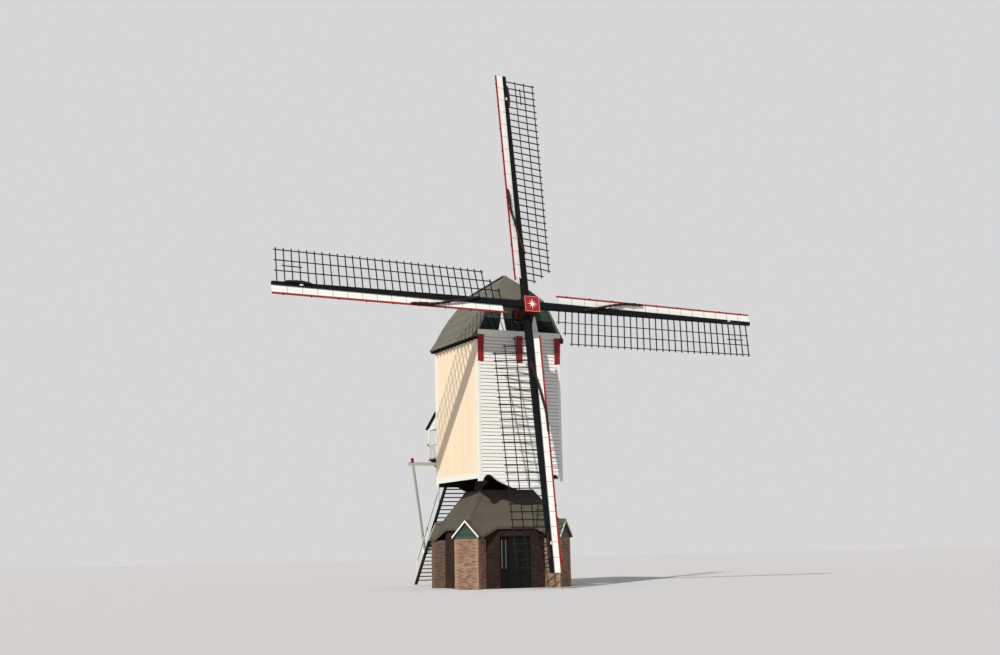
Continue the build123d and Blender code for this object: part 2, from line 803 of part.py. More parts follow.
bracket_reach = bracket_share * balcony_depth
with BuildPart() as balcony_floor:
    with BuildSketch(Plane.XY.offset(floor_bottom)):
        with Locations((0, half_length + balcony_depth / 2)):
            Rectangle(2 * balcony_half_width, balcony_depth)
    extrude(amount=floor_thickness)
    for share in bracket_places:
        with BuildSketch(Plane.YZ.offset(share * balcony_half_width)):
            with BuildLine():
                Polyline((half_length, floor_bottom - bracket_drop), (half_length, floor_bottom),
                         (half_length + bracket_reach, floor_bottom))
                ThreePointArc((half_length + bracket_reach, floor_bottom),
                              (half_length + bracket_curve[0] * bracket_reach,
                               floor_bottom - bracket_curve[1] * bracket_drop),
                              (half_length, floor_bottom - bracket_drop))
            make_face()
        extrude(amount=bracket_width / 2, both=True)
    add(corner_boards.part, mode=Mode.SUBTRACT)
    add(cross_spar.part, mode=Mode.SUBTRACT)
write(balcony_floor, "balcony_floor")

post_x = balcony_half_width - canopy_post / 2
post_y = balcony_edge - canopy_post / 2
canopy_fall = (canopy_wall_height - canopy_eave_height) / (balcony_depth + canopy_overhang)
canopy_back = half_length + corner_board_thickness
beam_touch = canopy_beam_height + canopy_post
with BuildPart() as balcony_canopy:
    with BuildSketch(Plane.YZ):
        with BuildLine():
            edge_y = balcony_edge + canopy_overhang
            back_height = beam_touch + canopy_fall * (post_y + canopy_post / 2 - canopy_back)
            edge_height = beam_touch - canopy_fall * (edge_y - post_y - canopy_post / 2)
            Polyline((canopy_back, back_height), (edge_y, edge_height),
                     (edge_y, edge_height + canopy_thickness),
                     (canopy_back, back_height + canopy_thickness), close=True)
        make_face()
    extrude(amount=balcony_half_width + canopy_overhang, both=True)
write(balcony_canopy, "balcony_canopy")

with BuildPart() as canopy_frame:
    with BuildSketch(Plane.XY.offset(floor_height)):
        with Locations((-post_x, post_y), (post_x, post_y)):
            Rectangle(canopy_post, canopy_post)
    extrude(amount=canopy_beam_height - floor_height)
    with BuildSketch(Plane.XY.offset(canopy_beam_height)):
        with Locations((0, post_y)):
            Rectangle(2 * balcony_half_width, canopy_post)
    extrude(amount=canopy_post)
    for sign in (-1, 1):
        with BuildSketch(Plane.YZ.offset(sign * (balcony_half_width - canopy_post / 2))):
            with BuildLine():
                Polyline((canopy_back, canopy_beam_height), (post_y - canopy_post / 2, canopy_beam_height),
                         (post_y - canopy_post / 2, beam_touch + canopy_fall * canopy_post),
                         (canopy_back, back_height), close=True)
            make_face()
        extrude(amount=door_leaf_thickness / 2, both=True)
write(canopy_frame, "canopy_frame")

rail_top = floor_height + balcony_rail_height
side_run = balcony_depth - canopy_post - corner_board_thickness
ladder_half = ladder_width / 2
rear_run = balcony_half_width - canopy_post - ladder_half - stringer_thickness
with BuildPart() as balcony_railing:
    for sign in (-1, 1):
        side_x = sign * (balcony_half_width - canopy_post / 2)
        side_y = half_length + corner_board_thickness + side_run / 2
        rear_x = sign * (balcony_half_width - canopy_post - rear_run / 2)
        for bottom in (floor_height + lower_rail_height, rail_top - rail_bar):
            with BuildSketch(Plane.XY.offset(bottom)):
                with Locations((side_x, side_y)):
                    Rectangle(rail_bar, side_run)
                with Locations((rear_x, post_y)):
                    Rectangle(rear_run, rail_bar)
            extrude(amount=rail_bar)
        with BuildSketch(Plane.XY.offset(floor_height)):
            with Locations((rear_x - sign * (rear_run - rail_bar) / 2, post_y)):
                Rectangle(rail_bar, rail_bar)
            side_count = int(side_run / baluster_pitch)
            with Locations((side_x, side_y)):
                with GridLocations(1, side_run / (side_count + 1), 1, side_count):
                    Rectangle(baluster_width, baluster_width)
            rear_count = int(rear_run / baluster_pitch)
            with Locations((rear_x, post_y)):
                with GridLocations(rear_run / (rear_count + 1), 1, rear_count, 1):
                    Rectangle(baluster_width, baluster_width)
        extrude(amount=balcony_rail_height)
write(balcony_railing, "balcony_railing")

# Braces from the spar to the end of the tail pole
with BuildPart() as tail_braces:
    for sign in (-1, 1):
        low = Vector(sign * pole_tip / 2, pole_end[0] - pole_tip, pole_end[1] + brace_foot_rise * pole_tip)
        high = Vector(sign * brace_spread, half_length + spar_size + brace_spar_gap * brace_radius, spar_height)
        run = (high - low).normalized()
        top = high + run * brace_top_length
        with BuildSketch(Plane(origin=low, z_dir=run)):
            Circle(brace_radius)
        extrude(amount=(top - low).length)
    add(cross_spar.part, mode=Mode.SUBTRACT)
    add(tail_pole.part, mode=Mode.SUBTRACT)
write(tail_braces, "tail_braces")

# Ladder: stringers hang from the balcony's edge, and treads are housed between them
ladder_fall = math.tan(math.radians(ladder_angle))
ladder_run = (floor_height - ladder_foot) / ladder_fall
stringer_height = stringer_depth / math.cos(math.radians(ladder_angle))
ladder_top = (balcony_edge, floor_height)
ladder_end = (balcony_edge + ladder_run, ladder_foot)
with BuildPart() as ladder_stringers:
    for sign in (-1, 1):
        with BuildSketch(Plane.YZ.offset(sign * (ladder_half + stringer_thickness / 2))):
            with BuildLine():
                Polyline(ladder_top, ladder_end,
                         (ladder_end[0] - stringer_height / ladder_fall, ladder_foot),
                         (balcony_edge, floor_height - stringer_height), close=True)
            make_face()
        extrude(amount=stringer_thickness / 2, both=True)
write(ladder_stringers, "ladder_stringers")

with BuildPart() as pole_passage:
    with BuildSketch(pole_axis):
        Rectangle(pole_root + 2 * pole_passage_side, pole_root + 2 * pole_passage_side)
    extrude(amount=pole_length)
tread_count = int((floor_height - ladder_foot) / tread_rise)
with BuildPart() as ladder_treads:
    for index in range(1, tread_count):
        top = floor_height - index * tread_rise
        nose = balcony_edge + index * tread_rise / ladder_fall
        with BuildSketch(Plane.XY.offset(top - tread_thickness)):
            with Locations((0, nose - tread_depth / 2 - tread_setback)):
                Rectangle(ladder_width, tread_depth)
        extrude(amount=tread_thickness)
    add(pole_passage.part, mode=Mode.SUBTRACT)
write(ladder_treads, "ladder_treads")

with BuildPart() as ladder_handrails:
    rail_rise = handrail_size / math.cos(math.radians(ladder_angle))
    post_rise = handrail_height - handrail_housing
    for sign in (-1, 1):
        rail_x = sign * (ladder_half + stringer_thickness / 2)
        rail_end_y = balcony_edge + handrail_end * ladder_run
        rail_end_z = floor_height - ladder_fall * (rail_end_y - balcony_edge)
        rail_start = floor_height + handrail_height
        with BuildSketch(Plane.YZ.offset(rail_x)):
            with BuildLine():
                Polyline((balcony_edge, rail_start), (balcony_edge, rail_start - rail_rise),
                         (rail_end_y, rail_end_z + handrail_height - rail_rise),
                         (rail_end_y, rail_end_z + handrail_height), close=True)
            make_face()
            for share in handrail_posts:
                post_place = balcony_edge + share * ladder_run
                post_far = post_place + handrail_size
                post_low = floor_height - share * ladder_run * ladder_fall
                far_low = post_low - ladder_fall * handrail_size
                with BuildLine():
                    Polyline((post_place, post_low), (post_place, post_low + post_rise),
                             (post_far, far_low + post_rise), (post_far, far_low), close=True)
                make_face()
        extrude(amount=handrail_size / 2, both=True)
write(ladder_handrails, "ladder_handrails")

# Windshaft: poll end with mortises for the stocks, neck, and taper to the tail bearing
poll_back = poll_length - poll_front
shaft_back = (shaft_rear + hub_forward) / math.cos(tilt)
with BuildPart() as stock_master:
    for place, size in ((-stock_half_length, stock_tip), (0, stock_root), (stock_half_length, stock_tip)):
        with BuildSketch(Plane.YZ.offset(place)):
            Rectangle(size, size)
    loft(ruled=True)


def sail_plane(turn, inner):
    """Plane of one sail: x out along the stock, y to the leading side, z to the wind."""
    angle = math.radians(90 - sail_lean + turn)
    along = hub_plane.x_dir * math.cos(angle) + hub_plane.y_dir * math.sin(angle)
    depth = -stock_spacing if inner else 0
    return Plane(origin=hub_plane.offset(depth).origin, x_dir=along, z_dir=hub_plane.z_dir)


outer_stock = sail_plane(90, False).from_local_coords(stock_master.part)
inner_stock = sail_plane(0, True).from_local_coords(stock_master.part)
for name, solid in (("stock_outer", outer_stock), ("stock_inner", inner_stock)):
    with BuildPart() as stock:
        add(solid)
    write(stock, name)

with BuildPart() as windshaft:
    with BuildSketch(sail_plane(0, False).offset(poll_front)):
        Rectangle(poll_size, poll_size)
    extrude(amount=-poll_length)
    with BuildSketch(hub_plane.offset(-poll_back)):
        Circle(neck_radius)
    extrude(amount=-(shaft_back - poll_back) / 3)
    with BuildSketch(hub_plane.offset(-poll_back - (shaft_back - poll_back) / 3)):
        Circle(neck_radius)
    with BuildSketch(hub_plane.offset(-shaft_back + 2 * tail_beam_width)):
        Circle(shaft_rear_radius)
    loft()
    with BuildSketch(hub_plane.offset(-shaft_back + 2 * tail_beam_width)):
        Circle(shaft_rear_radius)
    extrude(amount=-2 * tail_beam_width)
    add(outer_stock, mode=Mode.SUBTRACT)
    add(inner_stock, mode=Mode.SUBTRACT)
write(windshaft, "windshaft")


def stock_half_at(place):
    """Half the thickness of a stock at a distance from the shaft."""
    return (stock_root + (stock_tip - stock_root) * place / stock_half_length) / 2


def weather_at(place):
    """Angle in degrees that a bar is turned out of the plane of the sails."""
    share = (place - sail_heel) / (stock_half_length - sail_heel)
    return weather_heel + (weather_tip - weather_heel) * share


def strip_loft(start, end, inner, outer, thickness, lift):
    """Long thin piece along a sail, which follows the weather in straight stretches.

    inner and outer are distances from the stock's edge (positive on the leading side), and
    lift moves the piece off the plane of the bars.
    """
    with BuildPart() as strip:
        for index in range(span_count + 1):
            place = start + (end - start) * index / span_count
            angle = math.radians(weather_at(place))
            edge = math.copysign(stock_half_at(place), inner + outer)
            middle = edge + (inner + outer) / 2
            centre = (middle * math.cos(angle) - lift * math.sin(angle),
                      middle * math.sin(angle) + lift * math.cos(angle))
            with BuildSketch(Plane.YZ.offset(place)):
                with Locations(centre):
                    Rectangle(outer - inner, thickness, rotation=math.degrees(angle))
        loft(ruled=True)
    return strip.part


# Windboard on the leading side, and the strip along its outer edge
with BuildPart() as board_master:
    add(strip_loft(sail_heel, stock_half_length, -stock_tip / 2, board_width, board_thickness, 0))
    add(stock_master.part, mode=Mode.SUBTRACT)
strip_inner = board_width + strip_seat
strip_master = strip_loft(strip_heel, stock_half_length, strip_inner, strip_inner + strip_width,
                          strip_thickness, 0)

# Lattice on the trailing side: bars through the stock and long rails behind them
with BuildPart() as lattice_master:
    for index in range(bar_count):
        place = sail_heel + index * bar_pitch
        reach = rail_offsets[min(index, len(rail_offsets) - 1)] + bar_overrun
        length = stock_half_at(place) + reach
        angle = math.radians(weather_at(place))
        with BuildSketch(Plane.YZ.offset(place)):
            with Locations((-length / 2 * math.cos(angle), -length / 2 * math.sin(angle))):
                Rectangle(length, bar_depth, rotation=math.degrees(angle))
        extrude(amount=bar_width / 2, both=True)
    last_bar = sail_heel + (bar_count - 1) * bar_pitch
    for index, offset_out in enumerate(rail_offsets):
        rail_start = sail_heel + index * bar_pitch - bar_overrun
        add(strip_loft(rail_start, last_bar + bar_overrun, -offset_out - rail_width / 2,
                       -offset_out + rail_width / 2, rail_depth, -rail_depth / 2))
    add(strip_loft(last_bar - short_rail_bars[0] * bar_pitch - bar_overrun,
                   last_bar - short_rail_bars[1] * bar_pitch + bar_overrun,
                   -short_rail_offset - rail_width / 2, -short_rail_offset + rail_width / 2,
                   rail_depth, -rail_depth / 2))
    add(stock_master.part, mode=Mode.SUBTRACT)

# Furled cloth: a roll along the stock that crosses to the front of the windboard
cloth_lift = stock_root / 2 + cloth_radius - cloth_sink
cloth_line = [(along, side, cloth_lift - drop) for (along, side), drop in zip(cloth_points, cloth_drops)]
cloth_end_lift = stock_tip / 2 + cloth_radius - cloth_sink
with BuildPart() as cloth_master:
    with BuildLine() as cloth_path:
        FilletPolyline(*cloth_line, radius=cloth_bend)
    with BuildSketch(Plane(origin=cloth_path.line @ 0, z_dir=cloth_path.line % 0)):
        RegularPolygon(cloth_radius, 8)
    sweep(path=cloth_path.line)
    with BuildLine() as cloth_end_path:
        FilletPolyline(*[(along, side, cloth_end_lift) for along, side in cloth_end_line],
                       radius=cloth_end_bend)
    with BuildSketch(Plane(origin=cloth_end_path.line @ 0, z_dir=cloth_end_path.line % 0)):
        RegularPolygon(cloth_radius, 8)
    sweep(path=cloth_end_path.line)
    add(stock_master.part, mode=Mode.SUBTRACT)
    add(board_master.part, mode=Mode.SUBTRACT)
    add(strip_master, mode=Mode.SUBTRACT)

sail_turns = {"top": 0, "left": 90, "bottom": 180, "right": 270}
sail_planes = {sail: sail_plane(turn, sail in ("top", "bottom")) for sail, turn in sail_turns.items()}
for sail, plane in sail_planes.items():
    with BuildPart() as lattice:
        add(plane.from_local_coords(lattice_master.part))
    write(lattice, f"lattice_{sail}")

for name, master in (("windboards", board_master.part), ("leading_strips", strip_master),
                     ("furled_cloths", cloth_master.part)):
    with BuildPart() as sail_pieces:
        for plane in sail_planes.values():
            add(plane.from_local_coords(master))
    write(sail_pieces, name)
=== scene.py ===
"""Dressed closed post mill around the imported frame. Metres, +Z up; the sails face -Y."""
import json
import math
import random

import bmesh
import bpy
from mathutils import Matrix, Vector


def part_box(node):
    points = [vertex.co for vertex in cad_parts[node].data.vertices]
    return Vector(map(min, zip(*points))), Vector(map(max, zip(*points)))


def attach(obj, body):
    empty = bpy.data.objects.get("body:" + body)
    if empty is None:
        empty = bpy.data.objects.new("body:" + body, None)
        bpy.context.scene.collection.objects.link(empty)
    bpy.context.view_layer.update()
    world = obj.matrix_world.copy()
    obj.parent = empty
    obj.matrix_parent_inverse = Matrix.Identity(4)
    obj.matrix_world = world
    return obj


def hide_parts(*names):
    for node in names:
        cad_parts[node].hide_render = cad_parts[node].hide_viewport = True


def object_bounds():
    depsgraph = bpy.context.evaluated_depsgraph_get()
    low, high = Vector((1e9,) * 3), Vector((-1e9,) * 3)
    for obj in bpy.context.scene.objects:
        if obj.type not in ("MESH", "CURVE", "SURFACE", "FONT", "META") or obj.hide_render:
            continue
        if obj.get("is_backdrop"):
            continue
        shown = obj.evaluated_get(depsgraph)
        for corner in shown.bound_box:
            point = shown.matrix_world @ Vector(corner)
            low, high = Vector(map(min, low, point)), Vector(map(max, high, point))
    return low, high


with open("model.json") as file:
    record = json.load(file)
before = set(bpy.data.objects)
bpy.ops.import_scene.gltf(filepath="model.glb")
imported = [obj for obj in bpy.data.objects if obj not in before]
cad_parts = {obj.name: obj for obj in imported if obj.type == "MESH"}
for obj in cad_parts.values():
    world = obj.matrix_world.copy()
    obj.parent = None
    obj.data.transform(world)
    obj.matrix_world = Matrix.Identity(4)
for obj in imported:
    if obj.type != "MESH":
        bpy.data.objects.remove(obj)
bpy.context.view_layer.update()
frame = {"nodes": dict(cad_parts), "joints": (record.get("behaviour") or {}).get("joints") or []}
random.seed(11)

right_way = Vector((1, 0, 0))
rear_way = Vector((0, 1, 0))
up = Vector((0, 0, 1))
square = ((-1, -1), (1, -1), (1, 1), (-1, 1))

# Roundhouse
front_heading = math.radians(-97.5)
wall_turns = (0, 90, 180, 270)
corner_turns = (45, 135, 225, 315)
pier_reach = 3.4
pier_inner = 2.2
pier_half = 0.61
pier_side = 1.15
pier_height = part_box("brick_piers")[1].z
wall_reach = 2.3
wall_inner = 2.08
wall_top = 2.88
half_doorway = 0.75
doorway_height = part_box("roundhouse_door_frame")[1].z
slope_top_reach = 1.27
slope_top_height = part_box("roundhouse_roof_front")[1].z
slope_fall = 1.85 / 1.23
gablet_half = 0.69
gablet_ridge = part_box("gablet_roofs")[1].z
gablet_eave = 2.38
gablet_end = 3.49
ridge_reach = slope_top_reach + (slope_top_height - gablet_ridge) / slope_fall
valley_reach = slope_top_reach + (slope_top_height - gablet_eave) / slope_fall
valley_side = valley_reach - math.sqrt(2) * gablet_half
eave_reach = 2.42
raised_eave_half = 0.88

# Body
half_width, half_length, eave_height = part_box("body_side_walls")[1]
inside_half_width, inside_half_length, floor_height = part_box("body_floor")[1]
apron_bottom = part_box("body_wall_front")[0].z
apron_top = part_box("body_wall_rear")[0].z
base_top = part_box("base_boards")[1].z
board_pitch = 0.165
board_limit = half_width - 0.112
front_ridge = 14.98
rear_ridge = 14.6
front_shoulder = (1.29, 13.56)
rear_shoulder = (1.29, 13.29)
front_waist = (2.04, 12.25)
rear_waist = (2.04, 12.11)
roof_side, roof_front, roof_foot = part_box("body_roof_left")[0]
roof_eave = (-roof_side, roof_foot)
roof_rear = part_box("body_roof_left")[1].y
peak_setback = 1.35

# Rotor
turning = next(joint for joint in frame["joints"] if joint["name"] == "sail_rotation")
shaft_axis = Vector(turning["axis"])
shaft_rise = shaft_axis.cross(right_way)
hub = Vector(turning["pos_m"])
sail_lean = 0.95
stock_length = 12.4
stock_root = 0.3
stock_tip = 0.16
stock_spacing = 0.45
poll_front = 0.18
poll_half = 0.385
poll_length = 1.13
sail_heel = 1.5
weather_heel = 14
weather_tip = 3
board_width = 0.33
strip_width = 0.085
sails = {"top": (0, True), "left": (90, False), "bottom": (180, True), "right": (270, False)}

# Looks of the materials, by name
looks = {}


def add_node(tree, kind, values=None):
    """New shader node, with values set on its inputs by their names or numbers."""
    node = tree.nodes.new(kind)
    for socket, value in (values or {}).items():
        node.inputs[socket].default_value = value
    return node


def surface(name, dark, light, grain=(1, 1, 1), size=3.0, rough=0.6, bump=0.15, fine=40.0, contrast=0.5,
            gloss=0.3):
    """Two-tone weathered material: broad blotches, fine relief, and a tint for each board or brick."""
    material = bpy.data.materials.new(f"{name}_material")
    material.use_nodes = True
    tree = material.node_tree
    links = tree.links
    shader = tree.nodes["Principled BSDF"]
    shader.inputs["Specular IOR Level"].default_value = gloss
    place = add_node(tree, "ShaderNodeTexCoord")
    stretch = add_node(tree, "ShaderNodeMapping", {"Scale": grain})
    links.new(place.outputs["Object"], stretch.inputs["Vector"])
    broad = add_node(tree, "ShaderNodeTexNoise", {"Scale": size, "Detail": 6})
    links.new(stretch.outputs["Vector"], broad.inputs["Vector"])
    soften = add_node(tree, "ShaderNodeMath", {1: contrast})
    soften.operation = "MULTIPLY"
    links.new(broad.outputs["Fac"], soften.inputs[0])
    tint = add_node(tree, "ShaderNodeAttribute")
    tint.attribute_name = "tint"
    share = add_node(tree, "ShaderNodeMath", {1: 1 - contrast})
    share.operation = "MULTIPLY_ADD"
    links.new(tint.outputs["Fac"], share.inputs[0])
    links.new(soften.outputs[0], share.inputs[2])
    mix = add_node(tree, "ShaderNodeMix")
    mix.data_type = "RGBA"
    mix.inputs["A"].default_value = (*dark, 1)
    mix.inputs["B"].default_value = (*light, 1)
    links.new(share.outputs[0], mix.inputs["Factor"])
    links.new(mix.outputs["Result"], shader.inputs["Base Color"])
    relief = add_node(tree, "ShaderNodeTexNoise", {"Scale": fine, "Detail": 4})
    links.new(stretch.outputs["Vector"], relief.inputs["Vector"])
    spread = add_node(tree, "ShaderNodeMapRange", {"To Min": rough - 0.1, "To Max": min(rough + 0.12, 1)})
    links.new(relief.outputs["Fac"], spread.inputs["Value"])
    links.new(spread.outputs["Result"], shader.inputs["Roughness"])
    raise_it = add_node(tree, "ShaderNodeBump", {"Strength": bump, "Distance": 0.01})
    links.new(relief.outputs["Fac"], raise_it.inputs["Height"])
    links.new(raise_it.outputs["Normal"], shader.inputs["Normal"])
    looks[name] = material


# Brick and mortar
surface("brick", (0.085, 0.044, 0.028), (0.41, 0.255, 0.16), size=9, rough=0.85, bump=0.5, fine=60,
        contrast=0.35)
# Darker brick for the left rear pier.
surface("darker_pier_brick", (0.03, 0.018, 0.013), (0.15, 0.092, 0.062), size=9, rough=0.85, bump=0.5, fine=60,
        contrast=0.35)
# Very dark brick and mortar for the recessed walls: partly the old bricks' own colour, partly painted shade
# under the eave and between the piers.
surface("dark_and_shaded_brick", (0.012, 0.008, 0.006), (0.055, 0.036, 0.026), size=7, rough=0.9, bump=0.5, fine=60,
        contrast=0.4, gloss=0.1)
surface("mortar", (0.17, 0.145, 0.11), (0.29, 0.255, 0.2), size=6, rough=0.9, bump=0.4)
surface("dark_and_shaded_mortar", (0.014, 0.012, 0.01), (0.034, 0.03, 0.025), size=6, rough=0.9, bump=0.4, gloss=0.1)

# Roofing and canvas
surface("roof_felt", (0.05, 0.045, 0.036), (0.115, 0.103, 0.08), size=1.6, rough=0.92, bump=0.5, fine=160,
        contrast=0.7)
surface("body_roofing", (0.09, 0.087, 0.073), (0.18, 0.175, 0.152), size=1.3, rough=0.9, bump=0.45, fine=140,
        contrast=0.7)
surface("brown_canvas", (0.014, 0.009, 0.008), (0.05, 0.03, 0.026), size=9, rough=0.9, bump=0.7, fine=220,
        contrast=0.8, gloss=0.1)

# Timber, with its grain along the boards
along_x = (0.15, 3, 3)
along_y = (3, 0.15, 3)
along_z = (3, 3, 0.15)
surface("oak", (0.045, 0.03, 0.02), (0.15, 0.1, 0.065), along_y, rough=0.75, bump=0.4)
# Dark timber for the parts under and inside the body: partly the timber's own dark colour, partly painted
# shade of the gap under the body.
surface("dark_and_shaded_timber", (0.008, 0.006, 0.005), (0.035, 0.024, 0.017), along_y, rough=0.85, bump=0.4, gloss=0.1)
surface("lattice_wood", (0.007, 0.007, 0.008), (0.026, 0.024, 0.023), rough=0.7, gloss=0.1)

# Paint
surface("white_paint", (0.7, 0.69, 0.64), (0.9, 0.9, 0.87), along_x, size=2, rough=0.5, contrast=0.6)
surface("board_white", (0.7, 0.7, 0.68), (0.88, 0.88, 0.86), along_x, size=2, rough=0.55, contrast=0.6)
surface("cream_paint", (0.73, 0.58, 0.4), (0.86, 0.725, 0.54), along_z, size=2, rough=0.55)
surface("green_boards", (0.014, 0.03, 0.021), (0.046, 0.076, 0.054), along_x, rough=0.5)
surface("shade_green", (0.003, 0.006, 0.006), (0.009, 0.014, 0.014), along_x, gloss=0.1)
# The door's boards are dark and made darker still as painted shade; its pale strips are dimmed as painted
# shade.
surface("door_dark", (0.004, 0.0045, 0.004), (0.011, 0.012, 0.01), along_z, rough=0.7, gloss=0.05)
surface("door_trim", (0.06, 0.075, 0.062), (0.12, 0.145, 0.12), along_z, rough=0.5)
surface("dark_paint", (0.004, 0.005, 0.006), (0.012, 0.013, 0.016), along_y, rough=0.7, gloss=0.08)
surface("red_paint", (0.25, 0.008, 0.011), (0.4, 0.02, 0.024), size=4, rough=0.42)
surface("corbel_red", (0.21, 0.006, 0.011), (0.34, 0.015, 0.022), size=4, rough=0.5)
# Darker red for the poll's sides: painted shade.
surface("shaded_poll_red", (0.025, 0.003, 0.004), (0.06, 0.006, 0.008), size=4, gloss=0.1)
surface("pale_red", (0.42, 0.15, 0.15), (0.6, 0.28, 0.27), size=4, rough=0.45)

node_looks = {
    "mortar": ["brick_piers"],
    # The recessed walls' mortar is dark, partly as painted shade.
    "dark_and_shaded_mortar": ["roundhouse_walls", "roundhouse_wall_front", "roundhouse_wall_over_door"],
    "door_dark": ["roundhouse_door_left", "roundhouse_door_right", "roundhouse_door_frame"],
    "roof_felt": ["roundhouse_roof_front", "roundhouse_roof_right", "roundhouse_roof_back",
                  "roundhouse_roof_left", "gablet_roofs"],
    "green_boards": ["gablet_boards", "gables"],
    "white_paint": ["verge_boards", "corner_boards", "base_boards", "front_eave_board", "gable_ornaments",
                    "balcony_railing", "canopy_frame", "windboards", "ladder_handrails", "cross_spar",
                    "tail_braces"],
    "board_white": ["body_wall_front", "body_wall_rear"],
    # Timber under the body is dark, partly as painted shade.
    "dark_and_shaded_timber": ["crossbeam_one", "crossbeam_two", "quarter_bars", "main_post", "saddle", "sheers"],
    "oak": ["body_floor", "crown_beam", "wall_plates", "bearing_beams", "tail_pole"],
    "cream_paint": ["body_side_walls"],
    "dark_paint": ["body_door_rear", "balcony_canopy", "balcony_floor", "rafter_ends", "ladder_stringers",
                   "ladder_treads", "stock_outer", "stock_inner", "windshaft"],
    "body_roofing": ["body_roof_hip", "body_roof_left", "body_roof_right"],
    "corbel_red": ["front_corbels"],
    "red_paint": ["leading_strips"],
    "lattice_wood": ["lattice_top", "lattice_left", "lattice_bottom", "lattice_right"],
}
for look, names in node_looks.items():
    for name in names:
        cad_object = frame["nodes"][name]
        cad_object.data.materials.clear()
        cad_object.data.materials.append(looks[look])


def place_object(name, data):
    """New object in the scene."""
    made = bpy.data.objects.new(name, data)
    bpy.context.scene.collection.objects.link(made)
    return made


class Pile:
    """Loose solids gathered into one piece, each with a tint of its own."""

    def __init__(self):
        self.verts = []
        self.faces = []
        self.tints = []

    def shell(self, verts, faces, tint=None):
        start = len(self.verts)
        shade = random.random() if tint is None else tint
        self.verts.extend(verts)
        for face in faces:
            self.faces.append([start + index for index in face])
            self.tints.append(shade)

    def loft(self, rings, tint=None):
        """Solid through rings that have the same number of points, closed at both ends."""
        count = len(rings[0])
        last = len(rings) - 1
        faces = [list(range(count))[::-1], list(range(last * count, (last + 1) * count))]
        for ring in range(last):
            for index in range(count):
                after = (index + 1) % count
                faces.append([ring * count + index, ring * count + after, (ring + 1) * count + after,
                              (ring + 1) * count + index])
        self.shell([point for ring in rings for point in ring], faces, tint)

    def prism(self, outline, lift, tint=None):
        """Flat outline and the same outline moved by lift, joined by sides."""
        self.loft([outline, [point + lift for point in outline]], tint)

    def bar(self, start, end, side, lift, tint=None):
        """Straight block from start to end, with side and lift as its other two edges."""
        outline = [start - side / 2, start + side / 2, end + side / 2, end - side / 2]
        self.prism([point - lift / 2 for point in outline], lift, tint)

    def piece(self, name, look, body):
        mesh = bpy.data.meshes.new(name)
        mesh.from_pydata([tuple(point) for point in self.verts], [], self.faces)
        tint = mesh.attributes.new("tint", "FLOAT", "FACE")
        tint.data.foreach_set("value", self.tints)
        work = bmesh.new()
        work.from_mesh(mesh)
        bmesh.ops.recalc_face_normals(work, faces=work.faces)
        work.to_mesh(mesh)
        work.free()
        made = place_object(name, mesh)
        mesh.materials.append(looks[look])
        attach(made, body)
        return made


def heading_axes(turn):
    """Outward and sideways directions of a roundhouse face or corner."""
    angle = front_heading + math.radians(turn)
    return Vector((math.cos(angle), math.sin(angle), 0)), Vector((-math.sin(angle), math.cos(angle), 0))


# Brickwork
brick_length = 0.215
brick_height = 0.065
mortar_joint = 0.01
brick_proud = 0.007
shortest_brick = 0.02


def brick_face(pile, corner, along, out, width, height, gap=None, light_ends=False, shade=1.0):
    """Bricks in half bond on one upright face; gap is a part along it that stays open up to a height."""
    course_count = int(height / (brick_height + mortar_joint))
    course = height / course_count
    step = brick_length + mortar_joint
    for row in range(course_count):
        low = row * course + mortar_joint / 2
        middle = corner + up * (low + (course - mortar_joint) / 2)
        cursor = -step / 2 if row % 2 else 0.0
        while cursor < width:
            start = max(cursor, 0) + mortar_joint / 2
            end = min(cursor + step, width) - mortar_joint / 2
            at_an_end = cursor <= 0 or cursor + step >= width
            cursor += step
            spans = [(start, end)]
            if gap and low < gap[2]:
                spans = [(start, min(end, gap[0] - mortar_joint / 2)),
                         (max(start, gap[1] + mortar_joint / 2), end)]
            for left, right in spans:
                if right - left < shortest_brick:
                    continue
                tint = random.uniform(0.65, 1) if light_ends and at_an_end else random.uniform(0, 0.8)
                pile.bar(middle + along * left, middle + along * right, up * (course - mortar_joint),
                         out * 2 * brick_proud, tint * shade)


pier_bricks = Pile()
darker_pier_bricks = Pile()
# The left rear pier is built of the darker brick.
darker_pier_turn = 225
for turn in corner_turns:
    out, side = heading_axes(turn)
    bricks = darker_pier_bricks if turn == darker_pier_turn else pier_bricks
    brick_face(bricks, out * pier_reach - side * pier_half, side, out, 2 * pier_half, pier_height,
               light_ends=True)
    brick_face(bricks, out * pier_inner + side * pier_half, side * -1, out * -1, 2 * pier_half, pier_height)
    for sign in (-1, 1):
        brick_face(bricks, out * pier_reach + side * sign * pier_half, out * -1, side * sign, pier_side,
                   pier_height, light_ends=True)
pier_bricks.piece("pier_bricks", "brick", "roundhouse")
darker_pier_bricks.piece("darker_left_pier_bricks", "darker_pier_brick", "roundhouse")

# The wall at sunny_turn gets lighter bricks and the other walls darker ones: painted light and shade.
wall_bricks = Pile()
sunny_turn = 270
for turn in wall_turns:
    out, side = heading_axes(turn)
    for reach, sign in ((wall_reach, 1), (wall_inner, -1)):
        half = reach - pier_half * math.sqrt(2)
        gap = (half - half_doorway, half + half_doorway, doorway_height) if turn == 0 else None
        top = wall_top if sign == 1 else wall_top + slope_fall * (wall_reach - wall_inner)
        brick_face(wall_bricks, out * reach - side * half, side, out * sign, 2 * half, top, gap,
                   shade=1.3 if turn == sunny_turn else 0.9)
wall_bricks.piece("wall_bricks", "dark_and_shaded_brick", "roundhouse")

# Felt on the roundhouse roof, in lapped courses
course_edges = (slope_top_reach, 1.64, 2.04, ridge_reach + 0.01)
sheets_across = 4
felt_sink = 0.01
felt_thin = 0.004
felt_swell = 0.026


